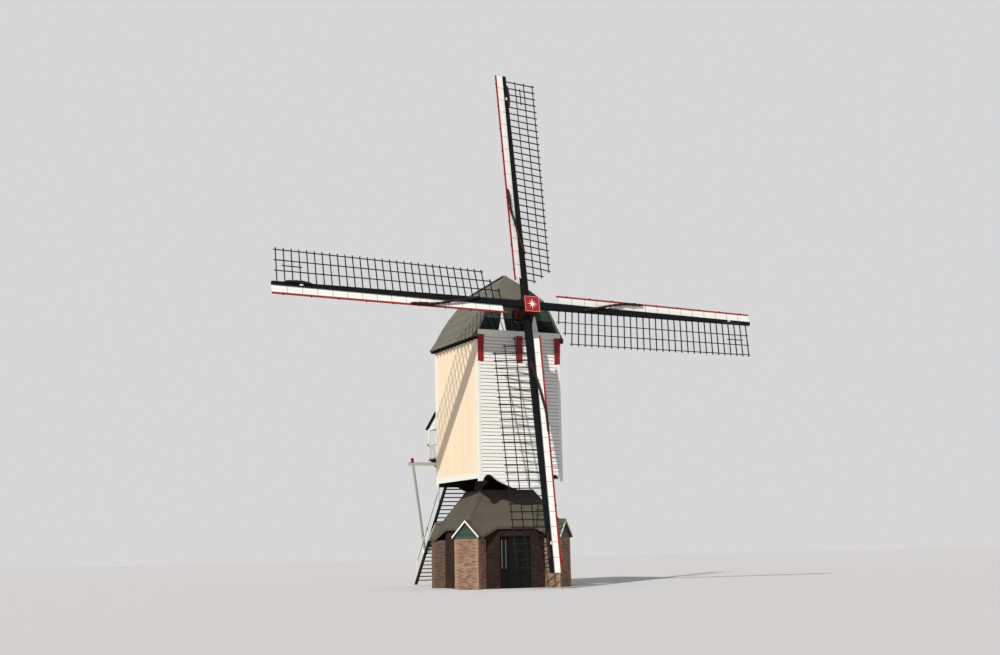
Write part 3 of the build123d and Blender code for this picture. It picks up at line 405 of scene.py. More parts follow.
def slope_point(axes, reach, side, lift):
    """Point on one slope, at a reach from the middle of the roundhouse, lifted off the slope."""
    out, across = axes
    height = slope_top_height - slope_fall * (reach - slope_top_reach)
    return out * reach + across * side + up * (height + lift)


def hip_half(reach):
    """Half the width of a slope, which is cut by the hips and then by the valleys of the gablets."""
    if reach <= ridge_reach:
        return reach
    return ridge_reach - (reach - ridge_reach) * (ridge_reach - valley_side) / (valley_reach - ridge_reach)


def lapped(pile, axes, outline, high_edge, low_edge, tint):
    """Thin sheet over a slope: thick at its lower edge, thin under the next course."""
    bottoms = []
    tops = []
    for reach, side in outline:
        share = (reach - high_edge) / (low_edge - high_edge)
        bottoms.append(slope_point(axes, reach, side, -felt_sink))
        tops.append(slope_point(axes, reach, side, felt_thin + felt_swell * share))
    pile.loft([bottoms, tops], tint)


felt = Pile()
for turn in wall_turns:
    axes = heading_axes(turn)
    for high_edge, low_edge in zip(course_edges, course_edges[1:]):
        for index in range(sheets_across):
            left = -1 + 2 * index / sheets_across
            right = -1 + 2 * (index + 1) / sheets_across
            sheet = [(high_edge, left * hip_half(high_edge)), (low_edge, left * hip_half(low_edge)),
                     (low_edge, right * hip_half(low_edge)), (high_edge, right * hip_half(high_edge))]
            lapped(felt, axes, sheet, high_edge, low_edge, random.uniform(0.25, 0.75))
    last = course_edges[-1]
    middle = [(last, -raised_eave_half), (eave_reach, -raised_eave_half),
              (eave_reach, raised_eave_half), (last, raised_eave_half)]
    lapped(felt, axes, middle, last, valley_reach, random.uniform(0.3, 0.7))
    for sign in (-1, 1):
        wing = [(last, sign * raised_eave_half), (eave_reach, sign * raised_eave_half),
                (valley_reach, sign * valley_side), (last, sign * hip_half(last))]
        lapped(felt, axes, wing, last, valley_reach, random.uniform(0.3, 0.7))
felt.piece("roof_felt_sheets", "roof_felt", "roundhouse")

gablet_felt = Pile()
caps = Pile()
cap_half = 0.11
hip_cap_half = 0.12
ridge_start = math.sqrt(2) * ridge_reach
cap_start = 0.98 * ridge_start
valley_start = (valley_reach + valley_side) / math.sqrt(2)
for turn in corner_turns:
    out, side = heading_axes(turn)
    hip_top = out * (math.sqrt(2) * slope_top_reach) + up * slope_top_height
    hip_foot = out * ridge_start + up * gablet_ridge
    ridge_end = out * gablet_end + up * gablet_ridge
    for sign in (-1, 1):
        eave_side = side * sign * gablet_half + up * gablet_eave
        sheet = [hip_foot, out * valley_start + eave_side, out * gablet_end + eave_side, ridge_end]
        gablet_felt.prism([point - up * felt_sink for point in sheet], up * 0.022)
        cap_side = side * sign * cap_half - up * cap_half
        cap_top = out * cap_start + up * gablet_ridge
        caps.prism([cap_top, cap_top + cap_side, ridge_end + cap_side, ridge_end], up * 0.03)
        hip_side = side * sign * hip_cap_half - up * (slope_fall * hip_cap_half / math.sqrt(2))
        caps.prism([hip_top, hip_foot, hip_foot + hip_side, hip_top + hip_side], up * 0.045)
gablet_felt.piece("gablet_felt_sheets", "roof_felt", "roundhouse")
caps.piece("roof_felt_caps", "roof_felt", "roundhouse")

# Weatherboards on the front and rear walls
apron_outline = ((0, 4.52), (0.25, 4.535), (0.55, 4.6), (0.9, 4.75), (1.2, 4.925), (1.42, 5.04),
                 (1.55, 5.12), (1.7, 5.185), (1.82, 5.16), (1.93, 5.03), (1.985, 4.89), (2.14, 4.89))
apron_strips = 64
board_stand = 0.034
thin_board_stand = 0.02


def board_rows(low, end, pitch, top=math.inf):
    """Lower and upper edges of boards, one above the other, that start below end; none reaches past top."""
    while low < end:
        yield low, min(low + pitch, top)
        low += pitch


def apron_height(x):
    """Lower edge of the front wall at a distance from the middle."""
    distance = abs(x)
    for (x_low, z_low), (x_high, z_high) in zip(apron_outline, apron_outline[1:]):
        if distance <= x_high:
            return z_low + (z_high - z_low) * (distance - x_low) / (x_high - x_low)
    return apron_outline[-1][1]


def apron_parts():
    """Left end, right end and lower edge of each narrow strip that the shaped edge is made of."""
    width = 2 * board_limit / apron_strips
    for index in range(apron_strips):
        left = -board_limit + index * width
        yield left, left + width, max(apron_height(left), apron_height(left + width))


def lap_board(pile, wall_y, facing, left, right, low, high, tint=None, stand=board_stand):
    """One overlapping board: its lower edge stands out further than its upper edge."""
    near = rear_way * (wall_y + facing * stand)
    far = rear_way * (wall_y + facing * 0.006)
    back = rear_way * (wall_y - facing * 0.004)
    corners = []
    for x in (left, right):
        side = right_way * x
        corners += [side + back + up * low, side + near + up * low,
                    side + far + up * high, side + back + up * high]
    pile.shell(corners, [[0, 1, 2, 3], [7, 6, 5, 4], [0, 4, 5, 1], [1, 5, 6, 2], [2, 6, 7, 3], [3, 7, 4, 0]],
               tint)


def shaped_board(pile, wall_y, facing, low_edge, high_edge, tint):
    """Overlapping board that is cut to the shaped lower edge of the wall."""
    for left, right, edge in apron_parts():
        if edge < high_edge - 0.004:
            lap_board(pile, wall_y, facing, left, right, max(low_edge, edge), high_edge, tint)


def painted_shadow_line(pile, wall_y, facing, left, right, height):
    """Thin dark line in the angle under a board's lower edge, as painted shadow."""
    middle = rear_way * (wall_y + facing * 0.01) + up * (height - 0.008)
    pile.bar(middle + right_way * left, middle + right_way * right, up * 0.016, rear_way * 0.014, 0.5)


# Dark strips under the lower edges of the boards are painted shadow.
front_boards = Pile()
painted_shadow = Pile()
straight_from = 5.19
for low_edge, high_edge in board_rows(apron_bottom, eave_height - 0.02, board_pitch, eave_height):
    if low_edge < straight_from:
        shaped_board(front_boards, -half_length, -1, low_edge, high_edge, random.uniform(0.4, 1))
        continue
    painted_shadow_line(painted_shadow, -half_length, -1, -board_limit, board_limit, low_edge)
    joint_at = random.uniform(-1.2, 1.2)
    for left, right in ((-board_limit, joint_at - 0.002), (joint_at + 0.002, board_limit)):
        lap_board(front_boards, -half_length, -1, left, right, low_edge, high_edge, random.uniform(0.4, 1))
front_boards.piece("front_weatherboards", "board_white", "buck")

rear_boards = Pile()
rear_opening_half = 0.55
rear_opening_top = 8.3
for low_edge, high_edge in board_rows(apron_top, eave_height - 0.02, board_pitch, eave_height):
    spans = [(-board_limit, board_limit)]
    if low_edge < rear_opening_top and high_edge > floor_height:
        spans = [(-board_limit, -rear_opening_half), (rear_opening_half, board_limit)]
    for left, right in spans:
        lap_board(rear_boards, half_length, 1, left, right, low_edge, high_edge, random.uniform(0.4, 1))
        if low_edge > apron_top:
            painted_shadow_line(painted_shadow, half_length, 1, left, right, low_edge)
rear_boards.piece("rear_weatherboards", "board_white", "buck")
painted_shadow.piece("board_painted_shadow_lines", "dark_paint", "buck")

# Shaped lower edge of the rear wall, with a lining and a sill inside it in dark timber that carries painted
# shade
rear_apron = Pile()
for low_edge, high_edge in board_rows(apron_bottom, apron_top - 0.02, board_pitch, apron_top):
    shaped_board(rear_apron, half_length, 1, low_edge, high_edge, 0.7)
rear_apron.piece("rear_apron_boards", "board_white", "buck")

apron_lining = Pile()
lining_thick = 0.025
for left, right, edge in apron_parts():
    middle = right_way * (left + right) / 2 + rear_way * (half_length - 0.013)
    apron_lining.bar(middle + up * edge, middle + up * (apron_top + 0.02), right_way * (right - left),
                     rear_way * lining_thick, 0.5)
sill_height = 0.22
sill_depth = 0.12
sill_middle = Vector((0, half_length - 0.09, 4.96))
sill_reach = right_way * (inside_half_width - 0.005)
apron_lining.bar(sill_middle - sill_reach, sill_middle + sill_reach, up * sill_height, rear_way * sill_depth,
                 0.4)
apron_lining.piece("rear_apron_lining", "dark_and_shaded_timber", "buck")

# Bare boards on the inner faces of the walls, below the floor, dark with painted shade
inner_boards = Pile()
inner_bottom = 5.07
inner_top = 6.2
inner_board_width = 0.25
inner_board_thick = 0.012
for sign in (-1, 1):
    for run, half_run, reach in ((right_way, inside_half_width, inside_half_length),
                                 (rear_way, inside_half_length, inside_half_width)):
        away = Vector((run.y, run.x, 0)) * sign
        count = round(2 * half_run / inner_board_width)
        pitch = 2 * half_run / count
        for index in range(count):
            middle = run * (-half_run + pitch * (index + 0.5)) + away * (reach - inner_board_thick / 2)
            inner_boards.bar(middle + up * inner_bottom, middle + up * inner_top, run * (pitch - 0.004),
                             away * inner_board_thick)
inner_boards.piece("inner_boards", "dark_and_shaded_timber", "buck")

# Flush upright boards on the sides
side_boards = Pile()
side_board_width = 0.2
side_run = 2 * (half_length - 0.192)
side_count = round(side_run / side_board_width)
side_pitch = side_run / side_count
for sign in (-1, 1):
    for index in range(side_count):
        middle = Vector((sign * (half_width + 0.004), -side_run / 2 + side_pitch * (index + 0.5), 0))
        side_boards.bar(middle + up * base_top, middle + up * (eave_height - 0.1),
                        rear_way * (side_pitch - 0.003), right_way * 0.016, random.uniform(0.35, 0.9))
side_boards.piece("side_boards", "cream_paint", "buck")


# Covering of the body's roof, in lapped strips
def arc_point(ridge, shoulder, waist, share):
    """Point on the circle from the ridge through the shoulder to the waist, by share of its turn."""
    shoulder_x, shoulder_z = shoulder
    waist_x, waist_z = waist
    ridge_square = ridge ** 2
    shoulder_square = shoulder_x ** 2 + shoulder_z ** 2
    waist_square = waist_x ** 2 + waist_z ** 2
    double_area = 2 * (shoulder_x * (waist_z - ridge) + waist_x * (ridge - shoulder_z))
    centre_x = (ridge_square * (shoulder_z - waist_z) + shoulder_square * (waist_z - ridge)
                + waist_square * (ridge - shoulder_z)) / double_area
    centre_z = (ridge_square * (waist_x - shoulder_x) - shoulder_square * waist_x
                + waist_square * shoulder_x) / double_area
    radius = math.hypot(centre_x, ridge - centre_z)
    start = math.atan2(ridge - centre_z, -centre_x)
    end = math.atan2(waist_z - centre_z, waist_x - centre_x)
    angle = start + (end - start) * share
    return centre_x + radius * math.cos(angle), centre_z + radius * math.sin(angle)


def roof_edge_point(share, at_front):
    """Point of the roof's outline at one end; shares above 1 run down the straight foot."""
    ridge, shoulder, waist = rear_ridge, rear_shoulder, rear_waist
    if at_front:
        ridge, shoulder, waist = front_ridge, front_shoulder, front_waist
    if share <= 1:
        return arc_point(ridge, shoulder, waist, share)
    foot = share - 1
    return waist[0] + (roof_eave[0] - waist[0]) * foot, waist[1] + (roof_eave[1] - waist[1]) * foot


def roof_point(share, along, sign, lift):
    """Point on the roof, from front to rear, moved outward by lift; the half hip cuts its front."""
    front_x, front_z = roof_edge_point(share, True)
    rear_x, rear_z = roof_edge_point(share, False)
    start = roof_front
    if front_z > front_shoulder[1]:
        hip_slope = peak_setback / (front_ridge - front_shoulder[1])
        start = max(roof_front, -half_length + (front_z - front_shoulder[1]) * hip_slope)
    cut_off = (start - roof_front) / (roof_rear - roof_front)
    way = cut_off + (1 - cut_off) * along
    next_x, next_z = roof_edge_point(share + 0.02, True)
    normal = Vector((front_z - next_z, 0, next_x - front_x)).normalized()
    x = front_x + (rear_x - front_x) * way
    y = roof_front + (roof_rear - roof_front) * way
    z = front_z + (rear_z - front_z) * way
    return Vector((sign * (x + normal.x * lift), y, z + normal.z * lift))


roof_sheets = Pile()
roof_courses = (0.0, 0.22, 0.42, 0.62, 0.82, 1.0, 1.55, 2.0)
roof_columns = 6
bend_steps = 5
for sign in (-1, 1):
    for high, low in zip(roof_courses, roof_courses[1:]):
        shade = random.uniform(0.35, 0.65)
        for column in range(roof_columns):
            start = column / roof_columns
            end = (column + 1) / roof_columns
            rings = []
            for step in range(bend_steps + 1):
                share = high + (low - high) * step / bend_steps
                lift = 0.003 + 0.011 * step / bend_steps
                rings.append([roof_point(share, start, sign, -0.01), roof_point(share, end, sign, -0.01),
                              roof_point(share, end, sign, lift), roof_point(share, start, sign, lift)])
            roof_sheets.loft(rings, shade + random.uniform(-0.08, 0.08))
roof_sheets.piece("roof_sheets", "body_roofing", "buck")

roof_caps = Pile()
ridge_cap_half = 0.13
hip_strip_width = 0.1
for sign in (-1, 1):
    strip = []
    for y in (-half_length + peak_setback, roof_rear):
        ridge = front_ridge + (rear_ridge - front_ridge) * (y - roof_front) / (roof_rear - roof_front)
        strip.append((Vector((0, y, ridge)), Vector((sign * ridge_cap_half, y, ridge - 0.008))))
    (start, start_side), (end, end_side) = strip
    roof_caps.prism([start, end, end_side, start_side], up * 0.035, 0.4)
    inward = right_way * -sign * hip_strip_width
    hip_edge = [roof_point(share, 0, sign, 0) for share in (0, 0.2, 0.4, 0.6)]
    for near, far in zip(hip_edge, hip_edge[1:]):
        roof_caps.prism([near, far, far + inward, near + inward], Vector((0, -0.012, 0.03)), 0.35)
roof_caps.piece("roof_caps", "body_roofing", "buck")

# Green inner edges of the front verges
verge_soffits = Pile()
verge_steps = 24
verge_shares = [0.7 + 1.2 * step / verge_steps for step in range(verge_steps + 1)]
for sign in (-1, 1):
    for near, far in zip(verge_shares, verge_shares[1:]):
        strip = [roof_point(near, 0, sign, -0.091), roof_point(far, 0, sign, -0.091),
                 roof_point(far, 0, sign, -0.099), roof_point(near, 0, sign, -0.099)]
        verge_soffits.prism([point + rear_way * 0.003 for point in strip], rear_way * 0.054, 0.7)
verge_soffits.piece("verge_soffits", "green_boards", "buck")

# Boards of the gablets, with dark joints between them
gablet_planks = Pile()
gablet_pitch = 0.13
roof_rim = 0.13
gablet_slope = gablet_half / (gablet_ridge - gablet_eave)
for turn in corner_turns:
    out, side = heading_axes(turn)
    for low_edge, high_edge in board_rows(pier_height, gablet_ridge - 0.3, gablet_pitch):
        half = min(pier_half, (gablet_ridge - roof_rim - high_edge) * gablet_slope)
        middle = out * (pier_reach + 0.006) + up * (low_edge + high_edge) / 2
        if half > 0.05:
            gablet_planks.bar(middle - side * half, middle + side * half, up * (gablet_pitch - 0.01),
                              out * 0.014)
gablet_planks.piece("gablet_planks", "green_boards", "roundhouse")

# Boards of the front gable, in the parts that no trim covers, and of the rear gable
gable_pitch = 0.14
dark_gable_top = 12.52
shaft_hole = 0.345
halvings = 24


def gable_half(height, at_front):
    """Half the width of a gable board whose upper edge lies at a height under the roof."""
    share_low = 0.0
    share_high = 2.0
    for _ in range(halvings):
        share = (share_low + share_high) / 2
        if roof_edge_point(share, at_front)[1] > height:
            share_low = share
        else:
            share_high = share
    return roof_edge_point(share_low, at_front)[0] - roof_rim


gable_planks = Pile()
dark_planks = Pile()
shaft_z = hub.z + (half_length + hub.y) * shaft_axis.z / -shaft_axis.y
for low_edge, high_edge in board_rows(eave_height + 0.25, front_shoulder[1] - 0.1, gable_pitch):
    half = gable_half(high_edge, True)
    middle_z = (low_edge + high_edge) / 2
    from_shaft = abs(middle_z - shaft_z) - gable_pitch / 2
    spans = [(-half, half)]
    if from_shaft < shaft_hole:
        inner = math.sqrt(shaft_hole ** 2 - from_shaft ** 2)
        spans = [(-half, -inner), (inner, half)]
    for left, right in spans:
        lap_board(gable_planks if middle_z > dark_gable_top else dark_planks, -half_length, -1, left, right,
                  low_edge, high_edge, stand=thin_board_stand)
gable_planks.piece("gable_planks", "green_boards", "buck")
dark_planks.piece("dark_gable_planks", "shade_green", "buck")

rear_planks = Pile()
for low_edge, high_edge in board_rows(eave_height, rear_ridge - 0.5, gable_pitch):
    half = min(gable_half(high_edge, False), half_width - 0.015)
    lap_board(rear_planks, half_length, 1, -half, half, low_edge, high_edge, stand=thin_board_stand)
rear_planks.piece("rear_gable_planks", "green_boards", "buck")


# Sails: planes that match the stocks, and places on a board or bar
def sail_axes(turn, inner):
    """Middle of a stock, its direction out to the sail's tip, and the direction across it."""
    angle = math.radians(90 - sail_lean + turn)
    along = right_way * math.cos(angle) + shaft_rise * math.sin(angle)
    centre = hub - shaft_axis * (stock_spacing if inner else 0)
    return centre, along, shaft_axis.cross(along)


def sail_place(sail, place, side, forward):
    """Point at a distance from the hub along a sail, moved across it and forward of it."""
    centre, along, across = sail_axes(*sails[sail])
    return centre + along * place + across * side + shaft_axis * forward


def stock_half_at(place):
    return (stock_root + (stock_tip - stock_root) * place / stock_length) / 2


def board_place(sail, place, offset, lift):
    """Place on the windboard or lattice, which turn with the weather along the sail."""
    share = (place - sail_heel) / (stock_length - sail_heel)
    angle = math.radians(weather_heel + (weather_tip - weather_heel) * share)
    middle = math.copysign(stock_half_at(place), offset) + offset
    return sail_place(sail, place, middle * math.cos(angle) - lift * math.sin(angle),
                      middle * math.sin(angle) + lift * math.cos(angle))


def twisted(pile, sail, start, end, inner, outer, lift, steps=3, tint=None):
    """Thin length of board that follows the weather; lift is where its back and its front lie."""
    low, high = lift
    rings = []
    for step in range(steps + 1):
        place = start + (end - start) * step / steps
        rings.append([board_place(sail, place, inner, low), board_place(sail, place, outer, low),
                      board_place(sail, place, outer, high), board_place(sail, place, inner, high)])
    pile.loft(rings, tint)


planks = Pile()
pegs = Pile()
joints = Pile()
cleats = Pile()
straps = Pile()
plank_count = 16
plank_length = (stock_length - sail_heel) / plank_count
plank_ends = 0.004
plank_lift = (0.008, 0.021)
plank_inner = 0.012
plank_outer = board_width - 0.004
plank_split = 0.171
plank_gap = 0.003
joint_half = 0.008
joint_lift = (0.012, 0.0225)
peg_inner = board_width + strip_width - 0.02
peg_outer = board_width + strip_width + 0.022
peg_half = 0.025
peg_lift = (-0.02, 0.03)
peg_places = [1.9 + 1.25 * index for index in range(9)]
cleat_place = 11.1
cleat_half = 0.07
strap_places = (2.2, 3.4, 4.6, 5.8, 7.4, 9.2)
strap_half = 0.03
for sail in sails:
    along, across = sail_axes(*sails[sail])[1:]
    for index in range(plank_count):
        start = sail_heel + index * plank_length
        if index:
            twisted(joints, sail, start - joint_half, start + joint_half, plank_inner, plank_outer,
                    joint_lift, steps=1, tint=0.9)
        for inner, outer in ((plank_inner, plank_split - plank_gap), (plank_split + plank_gap, plank_outer)):
            twisted(planks, sail, start + plank_ends, start + plank_length - plank_ends, inner, outer,
                    plank_lift, tint=random.uniform(0.55, 1))
    for place in peg_places:
        twisted(pegs, sail, place - peg_half, place + peg_half, peg_inner, peg_outer, peg_lift, steps=1,
                tint=0.4)
    cleat = sail_place(sail, cleat_place, 0.02, stock_half_at(cleat_place) + 0.02)
    cleats.bar(cleat - along * cleat_half, cleat + along * cleat_half, across * 0.05, shaft_axis * 0.04, 1)
    for place in strap_places:
        half = stock_half_at(place) + 0.004
        face = [sail_place(sail, place + strap_half * a, half * b, half) for a, b in square]
        straps.prism(face, shaft_axis * 0.008, 0.5)
planks.piece("windboard_planks", "white_paint", "rotor")
pegs.piece("strip_pegs", "dark_paint", "rotor")
joints.piece("board_joints", "dark_paint", "rotor")
cleats.piece("stock_cleats", "white_paint", "rotor")
straps.piece("stock_straps", "dark_paint", "rotor")

# Red panels on the faces of the poll, which the stocks pass through; the sides are a darker red as painted
# shade
poll_panels = Pile()
poll_sides = Pile()
panel_thick = 0.005
panel_half = poll_half - 0.004
stock_hole = stock_root / 2 + 0.006
hub_centre, hub_up, hub_side = sail_axes(0, False)
front_face = hub_centre + shaft_axis * poll_front
poll_panels.prism([front_face + hub_up * a * panel_half + hub_side * b * panel_half for a, b in square],
                  shaft_axis * panel_thick, 0.6)
for axis, face_along, hole_at in ((hub_up, hub_side, -stock_spacing), (hub_side, hub_up, 0)):
    for face_out in (axis, axis * -1):
        face_middle = hub_centre + face_out * poll_half
        behind = (poll_front - poll_length, hole_at - stock_hole)
        before = (hole_at + stock_hole, poll_front)
        for back, front in (behind, before):
            if front - back < 0.03:
                continue
            corners = [(back, -1), (front, -1), (front, 1), (back, 1)]
            poll_sides.prism([face_middle + shaft_axis * depth + face_along * b * poll_half
                              for depth, b in corners], face_out * panel_thick, 0.3)
        for sign in (-1, 1):
            middle = face_middle + face_along * sign * (poll_half + stock_root / 2) / 2
            half_strip = face_along * (poll_half - stock_hole) / 2
            near = middle + shaft_axis * (hole_at - stock_hole)
            far = middle + shaft_axis * (hole_at + stock_hole)
            poll_sides.prism([near - half_strip, far - half_strip, far + half_strip, near + half_strip],
                             face_out * panel_thick, 0.3)
poll_panels.piece("poll_panels", "red_paint", "rotor")
poll_sides.piece("poll_sides", "shaded_poll_red", "rotor")

# Light edge around the front of the poll
poll_frame = Pile()
edge_reach = poll_half - 0.02
for cross, run, reach in ((hub_up, hub_side, poll_half - 0.04), (hub_side, hub_up, poll_half)):
    for sign in (1, -1):
        middle = front_face + cross * sign * edge_reach
        poll_frame.bar(middle - run * reach, middle + run * reach, cross * 0.03, shaft_axis * 0.02, 0.9)
poll_frame.piece("poll_frame", "pale_red", "rotor")

# Eight-pointed star on the poll
star = Pile()
star_centre = front_face + shaft_axis * panel_thick
star_radii = (0.26, 0.065, 0.2, 0.065)
star_corners = 16
outline = []
for index in range(star_corners):
    angle = math.radians(index * 360 / star_corners)
    radius = star_radii[index % 4]
    outline.append(star_centre + hub_up * radius * math.cos(angle) + hub_side * radius * math.sin(angle))
star.prism(outline, shaft_axis * 0.012, 1)
star.piece("poll_star", "white_paint", "rotor")

# Furled cloths: folded canvas rolls that cross from the stock to the board, with lashings
cloth_corners = (Vector((2.7, -0.12, 0.195)), Vector((3.9, 0.17, 0.19)), Vector((5.0, 0.41, 0.18)),
                 Vector((6.1, 0.44, 0.16)))
cloth_steps = 44
cloth_radius = 0.056
roll_spokes = 14
loose_steps = 14
lashing_radius = 0.07
lashing_width = 0.024
lashing_corners = 12


def cloth_path():
    """Middle line of a furled cloth: distance along the sail, across it and forward of it."""
    first = cloth_corners[0].x
    last = cloth_corners[-1].x
    points = []
    for step in range(cloth_steps + 1):
        place = first + (last - first) * step / cloth_steps
        near, far = next((near, far) for near, far in zip(cloth_corners, cloth_corners[1:])
                         if place <= far.x + 0.0001)
        points.append(near.lerp(far, (place - near.x) / (far.x - near.x)))
    return points


def folded_roll(pile, sail, path):
    """Roll of canvas along a path, with folds that wander along it and drawn-in ends."""
    rings = []
    for index, centre in enumerate(path):
        phase = random.uniform(-0.15, 0.15)
        swell = cloth_radius + 0.008 * math.sin(index * 1.7) + random.uniform(-0.004, 0.004)
        swell *= min(1.0, 0.45 + 0.25 * min(index, len(path) - 1 - index))
        ring = []
        for spoke in range(roll_spokes):
            angle = 2 * math.pi * spoke / roll_spokes
            fold = 1 + 0.16 * math.sin(3 * angle + index * 0.35 + phase)
            fold += 0.08 * math.sin(5 * angle - index * 0.5)
            ring.append(sail_place(sail, centre.x, centre.y + swell * fold * math.cos(angle),
                                   centre.z + swell * fold * math.sin(angle)))
        rings.append(ring)
    pile.loft(rings, 0.5)


lashings = Pile()
for sail in sails:
    cloth = Pile()
    path = cloth_path()
    folded_roll(cloth, sail, path)
    loose_end = [Vector((10.65 + 1.2 * step / loose_steps,
                         -0.07 - 0.045 * math.sin(math.pi * step / loose_steps), 0.13))
                 for step in range(loose_steps + 1)]
    folded_roll(cloth, sail, loose_end)
    for centre in path[4:-1:8]:
        ring = []
        for corner in range(lashing_corners):
            angle = 2 * math.pi * corner / lashing_corners
            ring.append(sail_place(sail, centre.x - lashing_width / 2,
                                   centre.y + lashing_radius * math.cos(angle),
                                   centre.z + lashing_radius * math.sin(angle)))
        lashings.prism(ring, sail_axes(*sails[sail])[1] * lashing_width, 0.8)
    roll = cloth.piece(f"furled_cloth_{sail}", "brown_canvas", "rotor")
    for face in roll.data.polygons:
        face.use_smooth = True
    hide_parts("furled_cloths")
lashings.piece("cloth_lashings", "lattice_wood", "rotor")

# Boards and strips on the roundhouse doors, dark partly as painted shade; each leaf carries its own
door_out, door_side = heading_axes(0)
leaf_face = wall_reach - (wall_reach - wall_inner) / 4
leaf_inner = 0.004
leaf_outer = 0.679
leaf_boards = 5
leaf_pitch = (leaf_outer - leaf_inner) / leaf_boards
for sign, body in ((-1, "door_left"), (1, "door_right")):
    leaf_planks = Pile()
    for index in range(leaf_boards):
        place = sign * (leaf_inner + leaf_pitch * (index + 0.5))
        middle = door_out * (leaf_face + 0.004) + door_side * place
        leaf_planks.bar(middle + up * 0.02, middle + up * 2.26, door_side * (leaf_pitch - 0.006),
                        door_out * 0.014)
    leaf_planks.piece(f"{body}_planks", "door_dark", body)
leaf_strips = Pile()
for place in (-0.65, -0.46):
    middle = door_out * (leaf_face + 0.014) + door_side * place
    leaf_strips.bar(middle + up * 0.9, middle + up * 2.2, door_side * 0.045, door_out * 0.012)
leaf_strips.piece("door_left_strips", "door_trim", "door_left")

# Upright boards and two ledges on the rear door
door_boards = Pile()
rear_door_low, rear_door_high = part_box("body_door_rear")
door_board_count = 6
door_pitch = (rear_door_high.x - rear_door_low.x) / door_board_count
for index in range(door_board_count):
    middle = Vector((rear_door_low.x + door_pitch * (index + 0.5), half_length + 0.004, 0))
    door_boards.bar(middle + up * (rear_door_low.z + 0.02), middle + up * (rear_door_high.z - 0.02),
                    right_way * (door_pitch - 0.006), rear_way * 0.016)
for height in (6.6, 7.9):
    middle = Vector((0, half_length + 0.02, height))
    door_boards.bar(middle - right_way * 0.45, middle + right_way * 0.3, up * 0.06, rear_way * 0.012)
door_boards.piece("rear_door_boards", "dark_paint", "buck")

# Boards of the balcony
balcony_boards = Pile()
balcony_board_count = 7
balcony_board_half = 2.0
balcony_pitch = (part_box("balcony_floor")[1].y - half_length) / balcony_board_count
for index in range(balcony_board_count):
    middle = Vector((0, half_length + 0.03 + balcony_pitch * (index + 0.5) * 0.97, floor_height + 0.006))
    balcony_boards.bar(middle - right_way * balcony_board_half, middle + right_way * balcony_board_half,
                       rear_way * (balcony_pitch - 0.01), up * 0.012)
balcony_boards.piece("balcony_boards", "oak", "buck")

# Knobs on the corner posts of the balcony
post_knobs = Pile()
knob_radius = 0.085
knob_bands = 6
knob_spokes = 12
railing_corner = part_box("balcony_railing")[1]
for sign in (-1, 1):
    centre = Vector((sign * (railing_corner.x - 0.025), railing_corner.y + 0.06, railing_corner.z - 0.03))
    verts = [centre + up * knob_radius]
    for band in range(1, knob_bands):
        angle = math.pi * band / knob_bands
        for spoke in range(knob_spokes):
            turn = 2 * math.pi * spoke / knob_spokes
            verts.append(centre + Vector((math.sin(angle) * math.cos(turn), math.sin(angle) * math.sin(turn),
                                          math.cos(angle))) * knob_radius)
    verts.append(centre - up * knob_radius)
    last_ring = 1 + (knob_bands - 2) * knob_spokes
    spokes = [(spoke, (spoke + 1) % knob_spokes) for spoke in range(knob_spokes)]
    faces = [[0, 1 + spoke, 1 + after] for spoke, after in spokes]
    for first in range(1, last_ring, knob_spokes):
        faces += [[first + spoke, first + knob_spokes + spoke, first + knob_spokes + after, first + after]
                  for spoke, after in spokes]
    faces += [[len(verts) - 1, last_ring + after, last_ring + spoke] for spoke, after in spokes]
    post_knobs.shell(verts, faces, 0.5)
post_knobs.piece("post_knobs", "dark_paint", "buck")

# Painted ends of the braces
brace_tips = Pile()
tip_radius = 0.074
tip_length = 0.305
tip_corners = 16
for sign in (-1, 1):
    brace_foot = Vector((sign * 0.13, 9.04, 1.906))
    brace_head = Vector((sign * 3.34, 2.699, 6.0))
    run = (brace_head - brace_foot).normalized()
    side = run.cross(up).normalized()
    rise = side.cross(run)
    start = brace_head + run * 0.12
    outline = []
    for corner in range(tip_corners):
        angle = 2 * math.pi * corner / tip_corners
        outline.append(start + (side * math.cos(angle) + rise * math.sin(angle)) * tip_radius)
    brace_tips.prism(outline, run * tip_length, 0.3)
brace_tips.piece("brace_tips", "red_paint", "buck")

# White end of the tail pole
pole_end_paint = Pile()
pole_run = Vector((0, 8.4, -3.83)).normalized()
pole_rise = right_way.cross(pole_run)
pole_tip = Vector((0, 9.3, 1.75))
pole_length = 9.23
pole_tip_half = 0.13
pole_growth = 0.05
rings = []
for back in (0.9, -0.006):
    half = pole_tip_half + pole_growth * back / pole_length + 0.004
    centre = pole_tip - pole_run * back
    rings.append([centre + right_way * a * half + pole_rise * b * half for a, b in square])
pole_end_paint.loft(rings, 0.7)
pole_end_paint.piece("tail_pole_paint", "white_paint", "buck")

# Camera at the photograph's place
picture_width = 1000
focal_pixels = 1334.8
sensor_width = 36
camera_data = bpy.data.cameras.new("photo_camera")
camera_data.sensor_fit = "HORIZONTAL"
camera_data.sensor_width = sensor_width
camera_data.lens = sensor_width * focal_pixels / picture_width
camera_data.clip_end = 500
camera = place_object("photo_camera", camera_data)
camera_distance = 65.2
azimuth = math.radians(25.52)
camera_heading = azimuth + math.radians(0.43)
camera_pitch = math.radians(9.6)
camera_roll = math.radians(-1.19)
camera_place = Vector((-camera_distance * math.sin(azimuth), -camera_distance * math.cos(azimuth) + 0.6, 1.6))
forward = Vector((math.sin(camera_heading) * math.cos(camera_pitch),
                  math.cos(camera_heading) * math.cos(camera_pitch), math.sin(camera_pitch)))
level = Vector((math.cos(camera_heading), -math.sin(camera_heading), 0))
upward = level.cross(forward)
camera_x = level * math.cos(camera_roll) + upward * math.sin(camera_roll)
camera_y = level * -math.sin(camera_roll) + upward * math.cos(camera_roll)
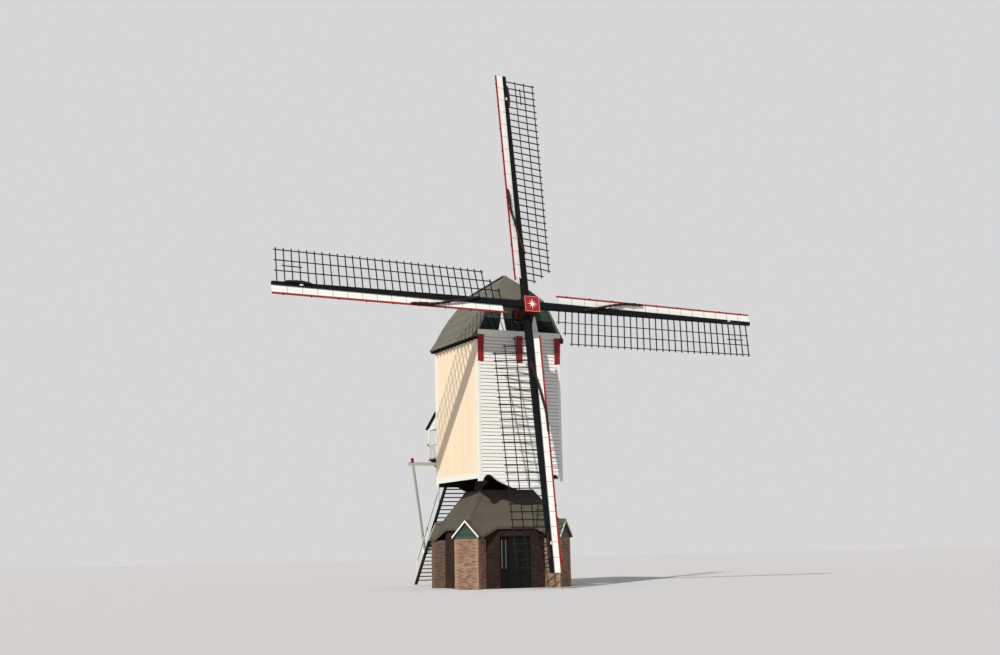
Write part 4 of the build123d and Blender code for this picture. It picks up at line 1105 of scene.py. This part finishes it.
turned = Matrix((camera_x, camera_y, -forward)).transposed().to_4x4()
camera.matrix_world = Matrix.Translation(camera_place) @ turned
bpy.context.scene.camera = camera

# Floor
floor_half = 400
floor_mesh = bpy.data.meshes.new("floor")
floor_mesh.from_pydata([(floor_half * a, floor_half * b, 0) for a, b in square], [], [(0, 1, 2, 3)])
floor = place_object("floor", floor_mesh)
floor_material = bpy.data.materials.new("floor_material")
floor_material.use_nodes = True
floor_shader = floor_material.node_tree.nodes["Principled BSDF"]
floor_shader.inputs["Base Color"].default_value = (0.6, 0.61, 0.63, 1)
floor_shader.inputs["Roughness"].default_value = 0.9
floor_mesh.materials.append(floor_material)
floor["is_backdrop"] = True

# Sun
sun_data = bpy.data.lights.new("key", "SUN")
sun_data.energy = 3.85
sun_data.angle = math.radians(1)
sun_data.color = (1, 0.95, 0.87)
sunlight_way = Vector((0.75, 0.62, -0.695))
sun = place_object("key", sun_data)
sun.rotation_mode = "QUATERNION"
sun.rotation_quaternion = sunlight_way.to_track_quat("-Z", "Y")

# Soft sky for light, and a plain backdrop for what the camera, mirrors and clear things show
world = bpy.data.worlds.new("studio")
world.use_nodes = True
world_nodes = world.node_tree.nodes
world_links = world.node_tree.links
sky = world_nodes["Background"]
sky.inputs["Color"].default_value = (0.86, 0.88, 0.9, 1)
sky.inputs["Strength"].default_value = 0.38
backdrop = world_nodes.new("ShaderNodeBackground")
backdrop.inputs["Color"].default_value = (0.68, 0.68, 0.68, 1)
backdrop.inputs["Strength"].default_value = 1
rays = world_nodes.new("ShaderNodeLightPath")
seen_or_mirrored = world_nodes.new("ShaderNodeMath")
seen_or_mirrored.operation = "ADD"
world_links.new(rays.outputs["Is Camera Ray"], seen_or_mirrored.inputs[0])
world_links.new(rays.outputs["Is Glossy Ray"], seen_or_mirrored.inputs[1])
direct = world_nodes.new("ShaderNodeMath")
direct.operation = "ADD"
direct.use_clamp = True
world_links.new(seen_or_mirrored.outputs[0], direct.inputs[0])
world_links.new(rays.outputs["Is Transmission Ray"], direct.inputs[1])
choice = world_nodes.new("ShaderNodeMixShader")
world_links.new(direct.outputs[0], choice.inputs[0])
world_links.new(sky.outputs[0], choice.inputs[1])
world_links.new(backdrop.outputs[0], choice.inputs[2])
world_links.new(choice.outputs[0], world_nodes["World Output"].inputs["Surface"])
bpy.context.scene.world = world
bpy.context.scene.view_settings.view_transform = "Standard"

low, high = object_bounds()
